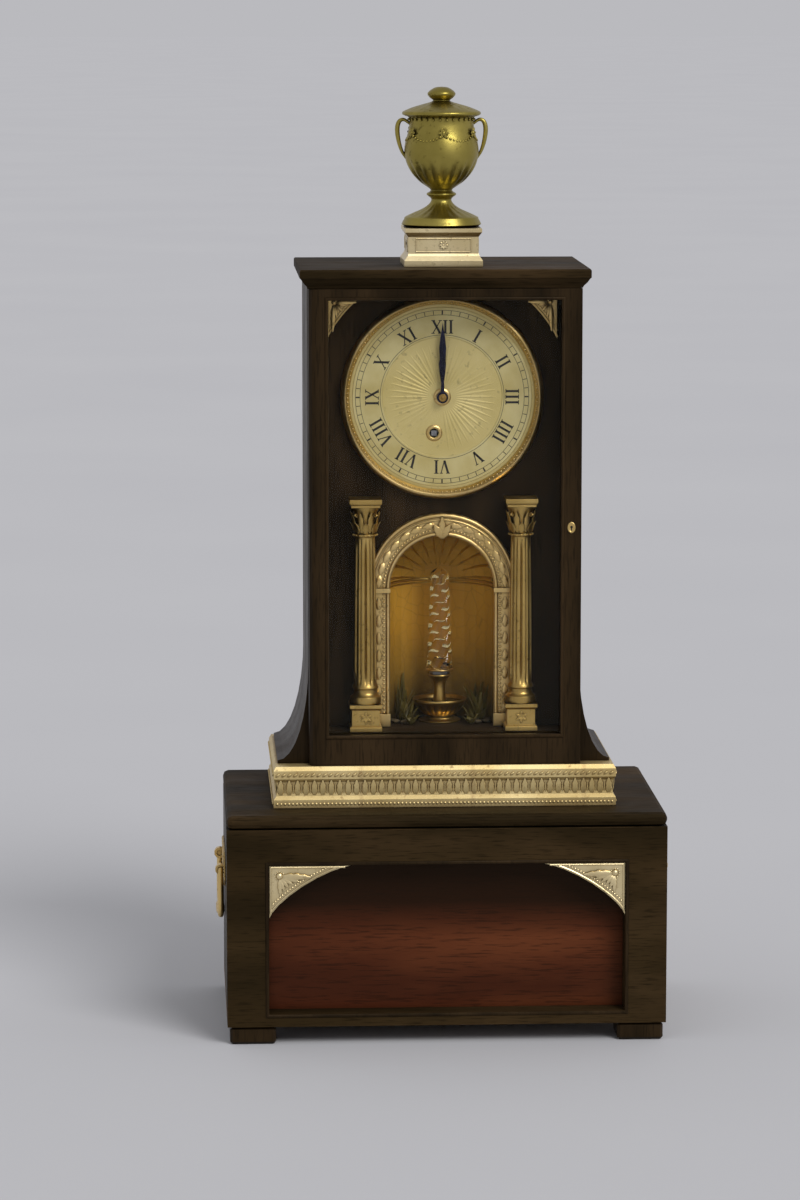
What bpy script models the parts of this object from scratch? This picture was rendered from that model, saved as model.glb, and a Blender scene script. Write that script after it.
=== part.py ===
"""Musical automaton clock: a tall ebonised case, with a dial over an arched scene, on a wide music box.

Units are metres, +Z is up and the clock faces -Y. The origin lies on the floor below the base's middle.
The going movement stands behind the dial. The musical movement lies in the base and turns the water rod.
"""

import math

import bmesh
import bpy
from mathutils import Matrix, Vector

# Clearances and facets
GAP = 0.0003
RUNNING_GAP = 0.0003
DOOR_GAP = 0.0005
OVERRUN = 0.002
WELD = 0.000001
FINE_STEPS = 32
ROUND_STEPS = 14
SMALL_STEPS = 8
URN_STEPS = 18

# Base
BASE_WIDTH = 0.326
BASE_DEPTH = 0.200
BASE_HEIGHT = 0.1585
BASE_BOARD = 0.010
BASE_BOTTOM_BOARD = 0.0085
BASE_EDGE_ROUNDING = 0.004
FRONT_FRAME = 0.018
RECESS_PANEL = 0.006
POST_WIDTH = 0.031
FRIEZE_HEIGHT = 0.037
BOTTOM_RAIL = 0.0095
BASE_DOOR = 0.008
BASE_SPANDREL_WIDTH = 0.060
BASE_SPANDREL_HEIGHT = 0.039
BASE_SPANDREL_THICKNESS = 0.004
SPANDREL_POWER = 1.35
FOOT_HEIGHT = 0.0135
FOOT_WIDTH = 0.034
FOOT_INSET = 0.002
FOOT_BEVEL = 0.002

# Drop handles on the base's sides
HANDLE_RISE = 0.106
HANDLE_SPAN = 0.076
HANDLE_DROP = 0.036
HANDLE_WIRE = 0.0021
HANDLE_PLATE = 0.001
HANDLE_PLATE_LENGTH = 0.092
HANDLE_PLATE_HEIGHT = 0.026
HANDLE_EAR_RADIUS = 0.0042
HANDLE_EAR_LENGTH = 0.006
HANDLE_PIN_LENGTH = 0.0075

# Upper case
FOOT_MOULDING_HEIGHT = 0.031
FOOT_MOULDING_LEDGE = 0.0035
FOOT_MOULDING_FRONT = 0.004
CASE_STEP = 0.0224
CASE_WALL = 0.008
FLARE_WIDTH = 0.023
FLARE_HEIGHT = 0.073
FLARE_EDGE = 0.002
CORNICE_HEIGHT = 0.014
CORNICE_OVERHANG = 0.006
FRONT_DOOR = 0.012
FRONT_DOOR_STILE = 0.015
FRONT_DOOR_TOP_RAIL = 0.0085
FRONT_DOOR_BOTTOM_RAIL = 0.022
GLASS_THICKNESS = 0.0025
GLASS_REBATE = 0.003
GLASS_SET_BACK = 0.0047
CASE_DOOR = 0.006
HINGE_PIN_RADIUS = 0.0015
HINGE_PIN_LENGTH = 0.003
FINGER_HOLE_RADIUS = 0.008
FINGER_HOLE_DEPTH = 0.003
FINGER_HOLE_INSET = 0.022

# Dial side
DIAL_BOARD = 0.006
DIAL_RADIUS = 0.072
DIAL_THICKNESS = 0.003
BEZEL_WIDTH = 0.004
BEZEL_LIP = 0.003
BEZEL_DEPTH = 0.0085
DIAL_DROP = 0.002
DIAL_TOP_MARGIN = 0.0075
DIAL_SIDE_MARGIN = 0.017
COLUMN_HEIGHT = 0.174
COLUMN_BLOCK = 0.024
COLUMN_PEDESTAL = 0.020
COLUMN_ABACUS = 0.006
COLUMN_CAPITAL = 0.022
COLUMN_FOOT = 0.012
COLUMN_SHAFT_RADIUS = 0.0085
COLUMN_TAPER_SHARE = 0.86
COLUMN_SPREAD = 0.058
COLUMN_DOOR_ROOM = 0.0005
ARCH_THICKNESS = 0.004
ARCH_WIDTH = 0.017
ARCH_LIP = 0.001
ARCH_CROWN_DROP = 0.011
SPANDREL_REACH = 0.096
SPANDREL_THICKNESS = 0.003

# Niche and its fountain, whose upright axis is the clock's middle line
NICHE_RADIUS = 0.040
NICHE_WALL = 0.002
NICHE_SET_FORWARD = 0.018
BASIN_RADIUS = 0.0205
BASIN_HEIGHT = 0.017
BASIN_WALL = 0.0018
PEDESTAL_RADIUS = 0.0085
PEDESTAL_HEIGHT = 0.0355
ROD_RADIUS = 0.0100
ROD_HEIGHT = 0.078
ROD_FLUTES = 5
ROD_RINGS = 10
ROD_TWIST = math.radians(270)
ROD_FLUTE_SHARE = 0.14
ROD_TOP_SHARE = 0.68
ROD_CAP_SHARE = 0.42
SHAFT_RADIUS = 0.0015
SHAFT_FLANGE_RADIUS = 0.0075
SHAFT_FLANGE = 0.002
SHAFT_TAIL = 0.0018

# Urn and its pedestal
URN_BLOCK = 0.058
URN_BLOCK_HEIGHT = 0.028
URN_BLOCK_LEDGE = 0.003
URN_SET_FORWARD = 0.020
URN_HEIGHT = 0.103
URN_RADIUS = 0.029
URN_HANDLE_WIRE = 0.0018
URN_HANDLE_REACH = 0.0345
URN_HANDLE_MIDDLE_SHARE = 0.6025
URN_HANDLE_RISE_SHARE = 0.1325
URN_HANDLE_ROOT_SHARE = 0.78

# Going movement
MOTION_GAP = 0.006
PLATE_THICKNESS = 0.0025
PLATE_SPACING = 0.0275
PLATE_WIDTH = 0.080
PLATE_MARGIN = 0.012
PLATE_DROP = 0.030
PILLAR_RADIUS = 0.003
PILLAR_INSET = 0.006
ARBOR_RADIUS = 0.0012
GREAT_MODULE = 0.00115
GREAT_TEETH = 40
GOING_MODULE = 0.00107
CENTRE_PINION_TEETH = 8
CENTRE_TEETH = 36
THIRD_PINION_TEETH = 6
THIRD_TEETH = 30
ESCAPE_PINION_TEETH = 6
THIRD_ANGLE = math.radians(60)
ESCAPE_TEETH = 30
ESCAPE_RADIUS = 0.014
ESCAPE_TOOTH_DEPTH = 0.0022
ANCHOR_RISE = 0.0055
ANCHOR_CLEARANCE = 0.0013
ANCHOR_PALLET = 0.0017
ANCHOR_BAND = 0.0035
ANCHOR_HUB = 0.0035
ANCHOR_SPAN = math.radians(45)
ANCHOR_PALLET_TURN = math.radians(5)
WHEEL_THICKNESS = 0.0015
PINION_LENGTH = 0.004
WHEEL_RIM = 0.0022
HUB_RADIUS = 0.0036
WINDING_OFFSET = 0.006
WINDING_RADIUS = 0.0025
WINDING_HOLE = 0.0036
WINDING_SQUARE = 0.004
WINDING_SET_BACK = 0.0005
RATCHET_RADIUS = 0.008
RATCHET_DEPTH = 0.0011
RATCHET_TEETH = 12
BARREL_DEPTH = 0.014
BARREL_RECESS = 0.001
CANNON_TEETH = 8
MINUTE_WHEEL_TEETH = 24
MINUTE_PINION_TEETH = 6
HOUR_WHEEL_TEETH = 24
MOTION_MODULE = 0.00075
MOTION_THICKNESS = 0.0013
PIPE_RADIUS = 0.0024
PIPE_HOLE = 0.0034
HAND_THICKNESS = 0.0008
HAND_GAP = 0.0022
HAND_BOSS = 0.0042
HOUR_HAND_LENGTH = 0.038
MINUTE_HAND_LENGTH = 0.056
HAND_WIDTH = 0.0052
PENDULUM_LENGTH = 0.195
PENDULUM_ROD = 0.0012
PENDULUM_COLLET = 0.0035
BOB_RADIUS = 0.022
BOB_THICKNESS = 0.008
BOB_CLEARANCE = 0.002
PENDULUM_ROOM = 0.035

# Musical movement
BED_THICKNESS = 0.005
BED_MARGIN = 0.004
MUSIC_PLATE = 0.003
MUSIC_PLATE_FRONT = 0.014
MUSIC_PLATE_MARGIN = 0.012
MUSIC_ARBOR = 0.0015
MUSIC_MODULE = 0.001
MUSIC_WHEEL = 0.002
MUSIC_PINION = 0.006
CYLINDER_RISE = 0.038
CYLINDER_LEFT = 0.062
CYLINDER_RIGHT = 0.040
CYLINDER_SIDES = 16
CYLINDER_TRACKS = 24
CYLINDER_PINS = 28
CYLINDER_PIN = 0.0008
PIN_TRACKS_APART = 7
PIN_SIDES_APART = 11
PIN_BORDER_SHARE = 0.36
CYLINDER_PINION_TEETH = 12
CYLINDER_WHEEL_TEETH = 48
CYLINDER_WHEEL_SPACE = 0.005
MUSIC_BARREL_MODULE = 0.0012
MUSIC_BARREL_TEETH = 40
MUSIC_BARREL_RADIUS = 0.022
MUSIC_BARREL_LENGTH = 0.020
MUSIC_BARREL_ARBOR = 0.0025
BARREL_WHEEL_SPACE = 0.0115
BARREL_PLATE_GAP = 0.0035
DRIVE_WHEEL_TEETH = 20
CROWN_PEGS = 24
CROWN_PEG_RADIUS = 0.00055
CROWN_RIM = 0.0012
CROWN_DISC = 0.0015
CROWN_GAP = 0.0012
CROWN_CLEARANCE = 0.0018
SHAFT_PINION_TEETH = 8
SHAFT_PINION_LENGTH = 0.0024
GOVERNOR_PINION_TEETH = 10
GOVERNOR_ANGLE = math.radians(60)
GOVERNOR_WHEEL_TEETH = 24
GOVERNOR_WHEEL_SPACE = 0.0057
GOVERNOR_PLATE_GAP = 0.0073
FLY_MODULE = 0.00096
FLY_PINION_TEETH = 6
FLY_ANGLE = math.radians(30)
FLY_VANE_RADIUS = 0.011
FLY_VANE_THICKNESS = 0.0008
FLY_VANE_LENGTH = 0.030
FLY_VANE_SPACE = 0.018
COMB_TEETH = 18
COMB_THICKNESS = 0.002
COMB_TOOTH_LENGTH = 0.017
COMB_HEEL = 0.0085
COMB_CLEARANCE = 0.0007
COMB_END_MARGIN = 0.004
COMB_SLOT_SHARE = 0.38

# Tooth form: heights are shares of the module, the half-width and the rake are shares of the pitch
TIP_HEIGHT_SHARE = 0.75
ROOT_DEPTH_SHARE = 1.15
TIP_HALF_SHARE = 0.07
RAKE_SHARE = 0.15

# Base, worked out
base_half = BASE_WIDTH / 2
base_front = -BASE_DEPTH / 2
base_back = BASE_DEPTH / 2
base_floor = FOOT_HEIGHT
base_top = FOOT_HEIGHT + BASE_HEIGHT
frame_back = base_front + FRONT_FRAME
panel_back = frame_back + GAP + RECESS_PANEL
under_top = base_top - BASE_BOARD
over_bottom = base_floor + BASE_BOTTOM_BOARD
base_door_front = base_back - BASE_DOOR
recess_half = base_half - POST_WIDTH
recess_low = base_floor + BOTTOM_RAIL
recess_high = base_top - FRIEZE_HEIGHT

# Upper case, worked out from the dial, the niche and the columns
bezel_radius = DIAL_RADIUS + BEZEL_WIDTH
case_half = bezel_radius + DIAL_SIDE_MARGIN + CASE_WALL
case_inside = case_half - CASE_WALL
moulding_low = base_top + GAP
moulding_high = moulding_low + FOOT_MOULDING_HEIGHT
step_low = moulding_high + GAP
step_high = step_low + CASE_STEP
column_low = step_high + GAP
column_high = column_low + COLUMN_HEIGHT
dial_z = column_high - DIAL_DROP + bezel_radius
case_top = dial_z + bezel_radius + DIAL_TOP_MARGIN
board_back = -NICHE_SET_FORWARD
board_front = board_back - DIAL_BOARD
arch_front = board_front - GAP - ARCH_THICKNESS
column_y = arch_front - GAP - COLUMN_BLOCK / 2
door_back = column_y - COLUMN_BLOCK / 2 - COLUMN_DOOR_ROOM
case_front = door_back - FRONT_DOOR
niche_back = board_back + NICHE_RADIUS + NICHE_WALL
pendulum_y = niche_back + BOB_CLEARANCE + BOB_THICKNESS / 2
case_door_front = pendulum_y + BOB_THICKNESS / 2 + PENDULUM_ROOM
case_back = case_door_front + CASE_DOOR
case_middle = (case_front + case_back) / 2
door_low = moulding_high + DOOR_GAP
door_high = case_top - DOOR_GAP
arch_inner = NICHE_RADIUS - ARCH_LIP
arch_outer = arch_inner + ARCH_WIDTH
spring_z = dial_z - bezel_radius - ARCH_CROWN_DROP - arch_outer

# Going movement, worked out: arbors as (x, z), planes as y
plate_front = board_back + MOTION_GAP
plate_inner = plate_front + PLATE_THICKNESS
back_plate_front = plate_inner + PLATE_SPACING
back_plate_back = back_plate_front + PLATE_THICKNESS
great_distance = GREAT_MODULE * (GREAT_TEETH + CENTRE_PINION_TEETH) / 2
third_distance = GOING_MODULE * (CENTRE_TEETH + THIRD_PINION_TEETH) / 2
escape_distance = GOING_MODULE * (THIRD_TEETH + ESCAPE_PINION_TEETH) / 2
centre_at = Vector((0, dial_z))
great_at = centre_at - Vector((WINDING_OFFSET, math.sqrt(great_distance**2 - WINDING_OFFSET**2)))
third_at = centre_at + third_distance * Vector((math.cos(THIRD_ANGLE), math.sin(THIRD_ANGLE)))
escape_at = Vector((0, third_at.y + math.sqrt(escape_distance**2 - third_at.x**2)))
anchor_at = escape_at + Vector((0, ESCAPE_RADIUS + ANCHOR_RISE))
hour_module = MOTION_MODULE * (CANNON_TEETH + MINUTE_WHEEL_TEETH) / (MINUTE_PINION_TEETH + HOUR_WHEEL_TEETH)
minute_at = centre_at + Vector((MOTION_MODULE * (CANNON_TEETH + MINUTE_WHEEL_TEETH) / 2, 0))
barrel_radius = GREAT_MODULE * (GREAT_TEETH / 2 - ROOT_DEPTH_SHARE) - WHEEL_RIM
plate_low = great_at.y - PLATE_DROP
plate_high = anchor_at.y + PLATE_MARGIN
great_plane = back_plate_front - PLATE_THICKNESS
third_plane = great_plane - BARREL_DEPTH / 2
centre_plane = plate_inner + PLATE_THICKNESS + WHEEL_THICKNESS
escape_plane = third_plane + PINION_LENGTH + WHEEL_THICKNESS
cannon_plane = plate_front - MOTION_THICKNESS - RUNNING_GAP
hour_plane = cannon_plane - MOTION_THICKNESS - 2 * RUNNING_GAP
dial_front = board_front - GAP - DIAL_THICKNESS
hour_hand_y = dial_front - BEZEL_LIP - HAND_THICKNESS
minute_hand_y = hour_hand_y - HAND_GAP

# Musical movement, worked out: arbors as (y, z), wheels at x
bed_low = over_bottom + GAP
bed_high = bed_low + BED_THICKNESS
drive_distance = MUSIC_MODULE * (CYLINDER_WHEEL_TEETH + DRIVE_WHEEL_TEETH) / 2
governor_distance = MUSIC_MODULE * (CYLINDER_WHEEL_TEETH + GOVERNOR_PINION_TEETH) / 2
fly_distance = FLY_MODULE * (GOVERNOR_WHEEL_TEETH + FLY_PINION_TEETH) / 2
cylinder_at = Vector((0, bed_high + CYLINDER_RISE))
barrel_distance = MUSIC_BARREL_MODULE * (MUSIC_BARREL_TEETH + CYLINDER_PINION_TEETH) / 2
barrel_at = cylinder_at + Vector((barrel_distance, 0))
drive_at = cylinder_at + Vector((0, drive_distance))
governor_at = cylinder_at + governor_distance * Vector((math.cos(GOVERNOR_ANGLE), math.sin(GOVERNOR_ANGLE)))
fly_at = governor_at + fly_distance * Vector((math.cos(FLY_ANGLE), math.sin(FLY_ANGLE)))
crown_radius = MUSIC_MODULE * CROWN_PEGS / 2
shaft_pinion_radius = MUSIC_MODULE * SHAFT_PINION_TEETH / 2
shaft_pinion_z = drive_at.y + crown_radius
pin_reach = drive_distance - crown_radius - CROWN_RIM - CROWN_CLEARANCE
cylinder_radius = pin_reach - CYLINDER_PIN
barrel_wheel_x = -CYLINDER_LEFT - BARREL_WHEEL_SPACE
music_left = barrel_wheel_x - MUSIC_BARREL_LENGTH - BARREL_PLATE_GAP
cylinder_wheel_x = CYLINDER_RIGHT + CYLINDER_WHEEL_SPACE
governor_wheel_x = cylinder_wheel_x + GOVERNOR_WHEEL_SPACE
music_right = governor_wheel_x + GOVERNOR_PLATE_GAP
vane_right = CYLINDER_RIGHT - FLY_VANE_SPACE
music_plate_low = bed_high + GAP
music_plate_high = max(fly_at.y, drive_at.y) + MUSIC_PLATE_MARGIN
music_plate_back = barrel_at.x + MUSIC_PLATE_MARGIN
comb_tip = -pin_reach - COMB_CLEARANCE
comb_root = comb_tip - COMB_TOOTH_LENGTH
comb_back = comb_root - COMB_HEEL
comb_low = cylinder_at.y - COMB_THICKNESS / 2
pedestal_top = column_low + PEDESTAL_HEIGHT


def clear_scene():
    for old in list(bpy.data.objects):
        bpy.data.objects.remove(old)


def collection(name):
    made = bpy.data.collections.new(name)
    bpy.context.scene.collection.children.link(made)
    return made


def finish(name, colour, metallic, roughness):
    """A Principled material, from its linear colour."""
    look = bpy.data.materials.new(name)
    look.use_nodes = True
    shader = look.node_tree.nodes["Principled BSDF"]
    shader.inputs["Base Color"].default_value = (*colour, 1)
    shader.inputs["Metallic"].default_value = metallic
    shader.inputs["Roughness"].default_value = roughness
    return look


clear_scene()
PARTS = collection("musical_automaton_clock")
CUTTERS = collection("cutters")

EBONY = finish("ebonised_wood", (0.028, 0.018, 0.010), 0, 0.35)
MAHOGANY = finish("mahogany", (0.090, 0.026, 0.012), 0, 0.35)
OAK = finish("plain_wood", (0.16, 0.09, 0.045), 0, 0.6)
GILT = finish("gilt", (0.52, 0.40, 0.17), 1, 0.35)
GILT_WOOD = finish("gilt_wood", (0.50, 0.40, 0.19), 0.6, 0.45)
DIAL = finish("dial_face", (0.50, 0.42, 0.22), 0.3, 0.4)
SCENE = finish("scene_paint", (0.32, 0.19, 0.05), 0, 0.6)
BRASS = finish("brass", (0.50, 0.36, 0.13), 1, 0.35)
STEEL = finish("steel", (0.42, 0.42, 0.43), 1, 0.3)
BLUED = finish("blued_steel", (0.02, 0.02, 0.035), 0.8, 0.3)
GLASS = finish("glass", (0.9, 0.93, 0.92), 0, 0.05)


def add(name, data, look, where=(0, 0, 0), turn=(0, 0, 0)):
    """A new object of the clock, with its origin where it is placed."""
    obj = bpy.data.objects.new(name, data)
    obj.location = where
    obj.rotation_euler = turn
    obj.data.materials.append(look)
    PARTS.objects.link(obj)
    return obj


def remesh(obj):
    """The object as a closed mesh: modifiers applied, a curve's caps welded and the faces turned out."""
    bpy.context.view_layer.update()
    graph = bpy.context.evaluated_depsgraph_get()
    mesh = bpy.data.meshes.new_from_object(obj.evaluated_get(graph), depsgraph=graph)
    bm = bmesh.new()
    bm.from_mesh(mesh)
    bmesh.ops.remove_doubles(bm, verts=bm.verts, dist=WELD)
    bmesh.ops.recalc_face_normals(bm, faces=bm.faces)
    bm.to_mesh(mesh)
    bm.free()
    name = obj.name
    solid = bpy.data.objects.new(name + "_solid", mesh)
    solid.matrix_world = obj.matrix_world
    for home in obj.users_collection:
        home.objects.link(solid)
    bpy.data.objects.remove(obj)
    solid.name = name
    return solid


def boolean(obj, others, operation):
    """Joins or cuts with each of the others, which are used up."""
    for other in others:
        step = obj.modifiers.new(operation.lower(), "BOOLEAN")
        step.operation = operation
        step.solver = "EXACT"
        step.object = other
        other.hide_render = True
        other.display_type = "WIRE"
    solid = remesh(obj)
    for other in others:
        bpy.data.objects.remove(other)
    return solid


def fuse(obj, *others):
    return boolean(obj, others, "UNION")


def cut(obj, *others):
    for other in others:
        for home in list(other.users_collection):
            home.objects.unlink(other)
        CUTTERS.objects.link(other)
    return boolean(obj, others, "DIFFERENCE")


def board(name, low, high, look, rounding=0, facets=1):
    """A plank between two corners. Its origin is its middle."""
    low, high = Vector(low), Vector(high)
    mesh = bpy.data.meshes.new(name)
    bm = bmesh.new()
    bmesh.ops.create_cube(bm, size=1)
    bmesh.ops.scale(bm, vec=high - low, verts=bm.verts)
    bm.to_mesh(mesh)
    bm.free()
    obj = add(name, mesh, look, (low + high) / 2)
    if rounding:
        bevel = obj.modifiers.new("rounded_edges", "BEVEL")
        bevel.width = rounding
        bevel.segments = facets
    return obj


def rod(name, radius, start, end, look, sides=SMALL_STEPS):
    """A round bar from one point to another."""
    start, end = Vector(start), Vector(end)
    along = end - start
    mesh = bpy.data.meshes.new(name)
    bm = bmesh.new()
    turned = along.to_track_quat("Z", "Y").to_matrix().to_4x4()
    bmesh.ops.create_cone(
        bm, cap_ends=True, segments=sides, radius1=radius, radius2=radius, depth=along.length, matrix=turned
    )
    bm.to_mesh(mesh)
    bm.free()
    obj = add(name, mesh, look, (start + end) / 2)
    smooth(obj)
    return obj


def smooth(obj):
    obj.data.shade_smooth()
    obj.data.set_sharp_from_angle(angle=math.radians(35))


# How a flat outline or a turned piece is stood up: local z runs up, back along +Y, or along +X
UPRIGHT = (0, 0, 0)
ALONG_Y = (-math.pi / 2, 0, 0)
FACING_FRONT = (math.pi / 2, 0, 0)
ALONG_X = (math.pi / 2, 0, math.pi / 2)


def turned(name, profile, look, where, turn=UPRIGHT, steps=ROUND_STEPS, bored=False):
    """A lathe piece from (radius, height) pairs down its side. A bored one's profile is a closed loop."""
    mesh = bpy.data.meshes.new(name)
    points = [(radius, 0, height) for radius, height in profile]
    edges = [(i, i + 1) for i in range(len(points) - 1)]
    if bored:
        edges.append((len(points) - 1, 0))
    mesh.from_pydata(points, edges, [])
    obj = add(name, mesh, look, where, turn)
    screw = obj.modifiers.new("lathe", "SCREW")
    screw.steps = steps
    screw.render_steps = steps
    screw.use_merge_vertices = True
    screw.merge_threshold = WELD * 10
    solid = remesh(obj)
    smooth(solid)
    return solid


def flat(name, outlines, thickness, look, where, turn=UPRIGHT):
    """A plate with a closed outline, and further outlines as its holes. Its origin is mid-thickness."""
    curve = bpy.data.curves.new(name, "CURVE")
    curve.dimensions = "2D"
    curve.fill_mode = "BOTH"
    curve.extrude = thickness / 2
    for outline in outlines:
        line = curve.splines.new("POLY")
        line.points.add(len(outline) - 1)
        for point, (x, y) in zip(line.points, outline):
            point.co = (x, y, 0, 1)
        line.use_cyclic_u = True
    return remesh(add(name, curve, look, where, turn))


def wire(name, points, radius, look, sides=2):
    """A bent round wire through the points."""
    curve = bpy.data.curves.new(name, "CURVE")
    curve.dimensions = "3D"
    curve.bevel_depth = radius
    curve.bevel_resolution = sides
    curve.use_fill_caps = True
    line = curve.splines.new("POLY")
    line.points.add(len(points) - 1)
    for point, place in zip(line.points, points):
        point.co = (*place, 1)
    solid = remesh(add(name, curve, look))
    smooth(solid)
    return solid


def loft(name, rings, look, where=(0, 0, 0)):
    """A closed skin over like-numbered rings of points, from the lowest up, with capped ends."""
    mesh = bpy.data.meshes.new(name)
    bm = bmesh.new()
    rows = [[bm.verts.new(point) for point in ring] for ring in rings]
    for lower, upper in zip(rows, rows[1:]):
        for i, vert in enumerate(lower):
            after = (i + 1) % len(lower)
            bm.faces.new((vert, lower[after], upper[after], upper[i]))
    bm.faces.new(reversed(rows[0]))
    bm.faces.new(rows[-1])
    bmesh.ops.recalc_face_normals(bm, faces=bm.faces)
    bm.to_mesh(mesh)
    bm.free()
    return add(name, mesh, look, where)


def moulded_slab(name, half_x, front, back, steps, look):
    """A rectangular slab whose edge follows a moulding. Each step is (inset, height) from the bottom up."""
    rings = []
    for inset, z in steps:
        x = half_x - inset
        near, far = front + inset, back - inset
        rings.append(((-x, near, z), (x, near, z), (x, far, z), (-x, far, z)))
    return loft(name, rings, look)


def turns_between(start, end, count):
    """Evenly spaced angles, the first and the last included."""
    return [start + (end - start) * i / (count - 1) for i in range(count)]


def arc(radius, start, end, count, centre=(0, 0)):
    """Points along an arc, its two ends included."""
    turns = turns_between(start, end, count)
    return [(centre[0] + radius * math.cos(t), centre[1] + radius * math.sin(t)) for t in turns]


def circle(radius, centre=(0, 0), count=SMALL_STEPS):
    return arc(radius, 0, math.tau * (count - 1) / count, count, centre)


def spur_teeth(teeth, module, phase):
    """A gear's outline: a point in each gap's root and two at each tip, with a tooth at the phase."""
    tip = module * (teeth / 2 + TIP_HEIGHT_SHARE)
    root = module * (teeth / 2 - ROOT_DEPTH_SHARE)
    corner_shares = ((root, -1 / 2), (tip, -TIP_HALF_SHARE), (tip, TIP_HALF_SHARE))
    return toothed(teeth, corner_shares, phase)


def raked_teeth(teeth, tip, depth):
    """A ratchet or escape wheel's outline: each tooth has one steep face and one long back."""
    return toothed(teeth, ((tip - depth, 0), (tip, RAKE_SHARE)), 0)


def toothed(teeth, corner_shares, phase):
    """An outline that repeats its corners, each a radius and a share of the pitch, round a circle."""
    points = []
    for k in range(teeth):
        for radius, share in corner_shares:
            turn = phase + (k + share) * math.tau / teeth
            points.append((radius * math.cos(turn), radius * math.sin(turn)))
    return points


def windows(inner, outer, count, bar):
    """The openings between a wheel's spokes, each a ring sector that leaves a spoke of the bar's width."""
    holes = []
    for k in range(count):
        start = math.tau * k / count
        end = start + math.tau / count
        near, far = bar / 2 / inner, bar / 2 / outer
        holes.append(arc(outer, start + far, end - far, 4) + arc(inner, end - near, start + near, 2))
    return holes


def meshed(teeth, phase, at, other_teeth, other_at):
    """The phase that puts the other gear in mesh: its gap faces wherever this gear's tooth is."""
    towards = other_at - at
    line = math.atan2(towards.y, towards.x)
    passed = ((line - phase) * teeth / math.tau) % 1
    return line + math.pi + (passed + 0.5) * math.tau / other_teeth


def wheel(name, outline, rim_inner, thickness, look, where, turn, spokes=3):
    """A crossed-out wheel: its tooth outline, less the windows between its hub and its rim."""
    holes = windows(HUB_RADIUS, rim_inner, spokes, WHEEL_THICKNESS) if spokes else []
    return flat(name, [outline] + holes, thickness, look, where, turn)


def spur(name, teeth, module, phase, thickness, look, where, turn, spokes=3):
    rim_inner = module * (teeth / 2 - ROOT_DEPTH_SHARE) - WHEEL_RIM
    return wheel(name, spur_teeth(teeth, module, phase), rim_inner, thickness, look, where, turn, spokes)


def at_y(place, y):
    """A point of the going movement, from its (x, z) and its depth."""
    return (place.x, y, place.y)


def at_x(x, place):
    """A point of the musical movement, from its x and its (y, z)."""
    return (x, place.x, place.y)


def axis_empty(name, where):
    """The empty on a joint's axis, which carries what the joint moves."""
    empty = bpy.data.objects.new(name, None)
    empty.location = where
    empty.empty_display_size = HINGE_PIN_LENGTH
    PARTS.objects.link(empty)
    return empty


def hang(empty, *pieces):
    for piece in pieces:
        piece.parent = empty
        piece.matrix_parent_inverse = Matrix.Translation(empty.location).inverted()


def swing_door(name, half_width, front, back, low, high, look):
    """A door with a half-round hinge edge at its left, whose pins stand on that edge's axis."""
    radius = (back - front) / 2
    pivot = (-half_width + radius, (front + back) / 2)
    outline = arc(radius, math.pi / 2, math.pi * 3 / 2, 7, pivot)
    outline += [(half_width, front), (half_width, back)]
    door = flat(name, [outline], high - low, look, (0, 0, (low + high) / 2))
    pins = []
    for start, end in ((low + OVERRUN, low - HINGE_PIN_LENGTH), (high - OVERRUN, high + HINGE_PIN_LENGTH)):
        pins.append(rod("pin", HINGE_PIN_RADIUS, (*pivot, start), (*pivot, end), look))
    return fuse(door, *pins), pivot


def pin_socket(pivot, face, upward):
    """A cutter for the hole that a door's pin turns in. It starts at the face and runs up or down."""
    depth = HINGE_PIN_LENGTH + DOOR_GAP if upward else -HINGE_PIN_LENGTH - DOOR_GAP
    lead = -OVERRUN if upward else OVERRUN
    radius = HINGE_PIN_RADIUS + RUNNING_GAP
    return rod("socket", radius, (*pivot, face + lead), (*pivot, face + depth), OAK)


def shaft_hole(low, high):
    """A cutter for the hole that the fountain's shaft passes through, from low to high."""
    return rod("shaft_hole", SHAFT_RADIUS + RUNNING_GAP, (0, 0, low - OVERRUN), (0, 0, high + OVERRUN), OAK)


def build_base():
    """The music box: boards, a framed front with a recessed panel, a hinged back, feet and gilt corners."""
    edge = BASE_DOOR / 2
    pivot = (-base_half + edge, base_back - edge)
    low = (-base_half, frame_back + GAP, base_floor)
    bottom = board("base_bottom_board", low, (base_half, base_back, over_bottom), OAK)
    cut(bottom, pin_socket(pivot, over_bottom, False))
    for side, name in ((-1, "base_left_side"), (1, "base_right_side")):
        inner, outer = sorted((side * (base_half - BASE_BOARD), side * base_half))
        board(
            name,
            (inner, frame_back + GAP, over_bottom + GAP),
            (outer, base_door_front - GAP, under_top - GAP),
            EBONY,
        )
    low = (-base_half, base_front, base_floor)
    frame = board("base_front_frame", low, (base_half, frame_back, under_top - GAP), EBONY)
    hole = board(
        "hole",
        (-recess_half, base_front - OVERRUN, recess_low),
        (recess_half, frame_back + OVERRUN, recess_high),
        EBONY,
    )
    cut(frame, hole)
    inside = base_half - BASE_BOARD - GAP
    board(
        "base_recess_panel",
        (-inside, frame_back + GAP, over_bottom + GAP),
        (inside, panel_back, under_top - GAP),
        MAHOGANY,
    )
    low = (-base_half, base_front, under_top)
    top = board("base_top_board", low, (base_half, base_back, base_top), EBONY, BASE_EDGE_ROUNDING, 2)
    cut(top, pin_socket(pivot, under_top, True), shaft_hole(under_top, base_top))
    low, high = over_bottom + DOOR_GAP, under_top - DOOR_GAP
    door, pivot = swing_door("base_rear_door", base_half, base_door_front, base_back, low, high, OAK)
    middle = (low + high) / 2
    door = cut(door, finger_hole(base_half, base_back, middle))
    hang(axis_empty("base_rear_door_axis", (*pivot, middle)), door)
    build_feet()
    build_base_spandrels()


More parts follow.
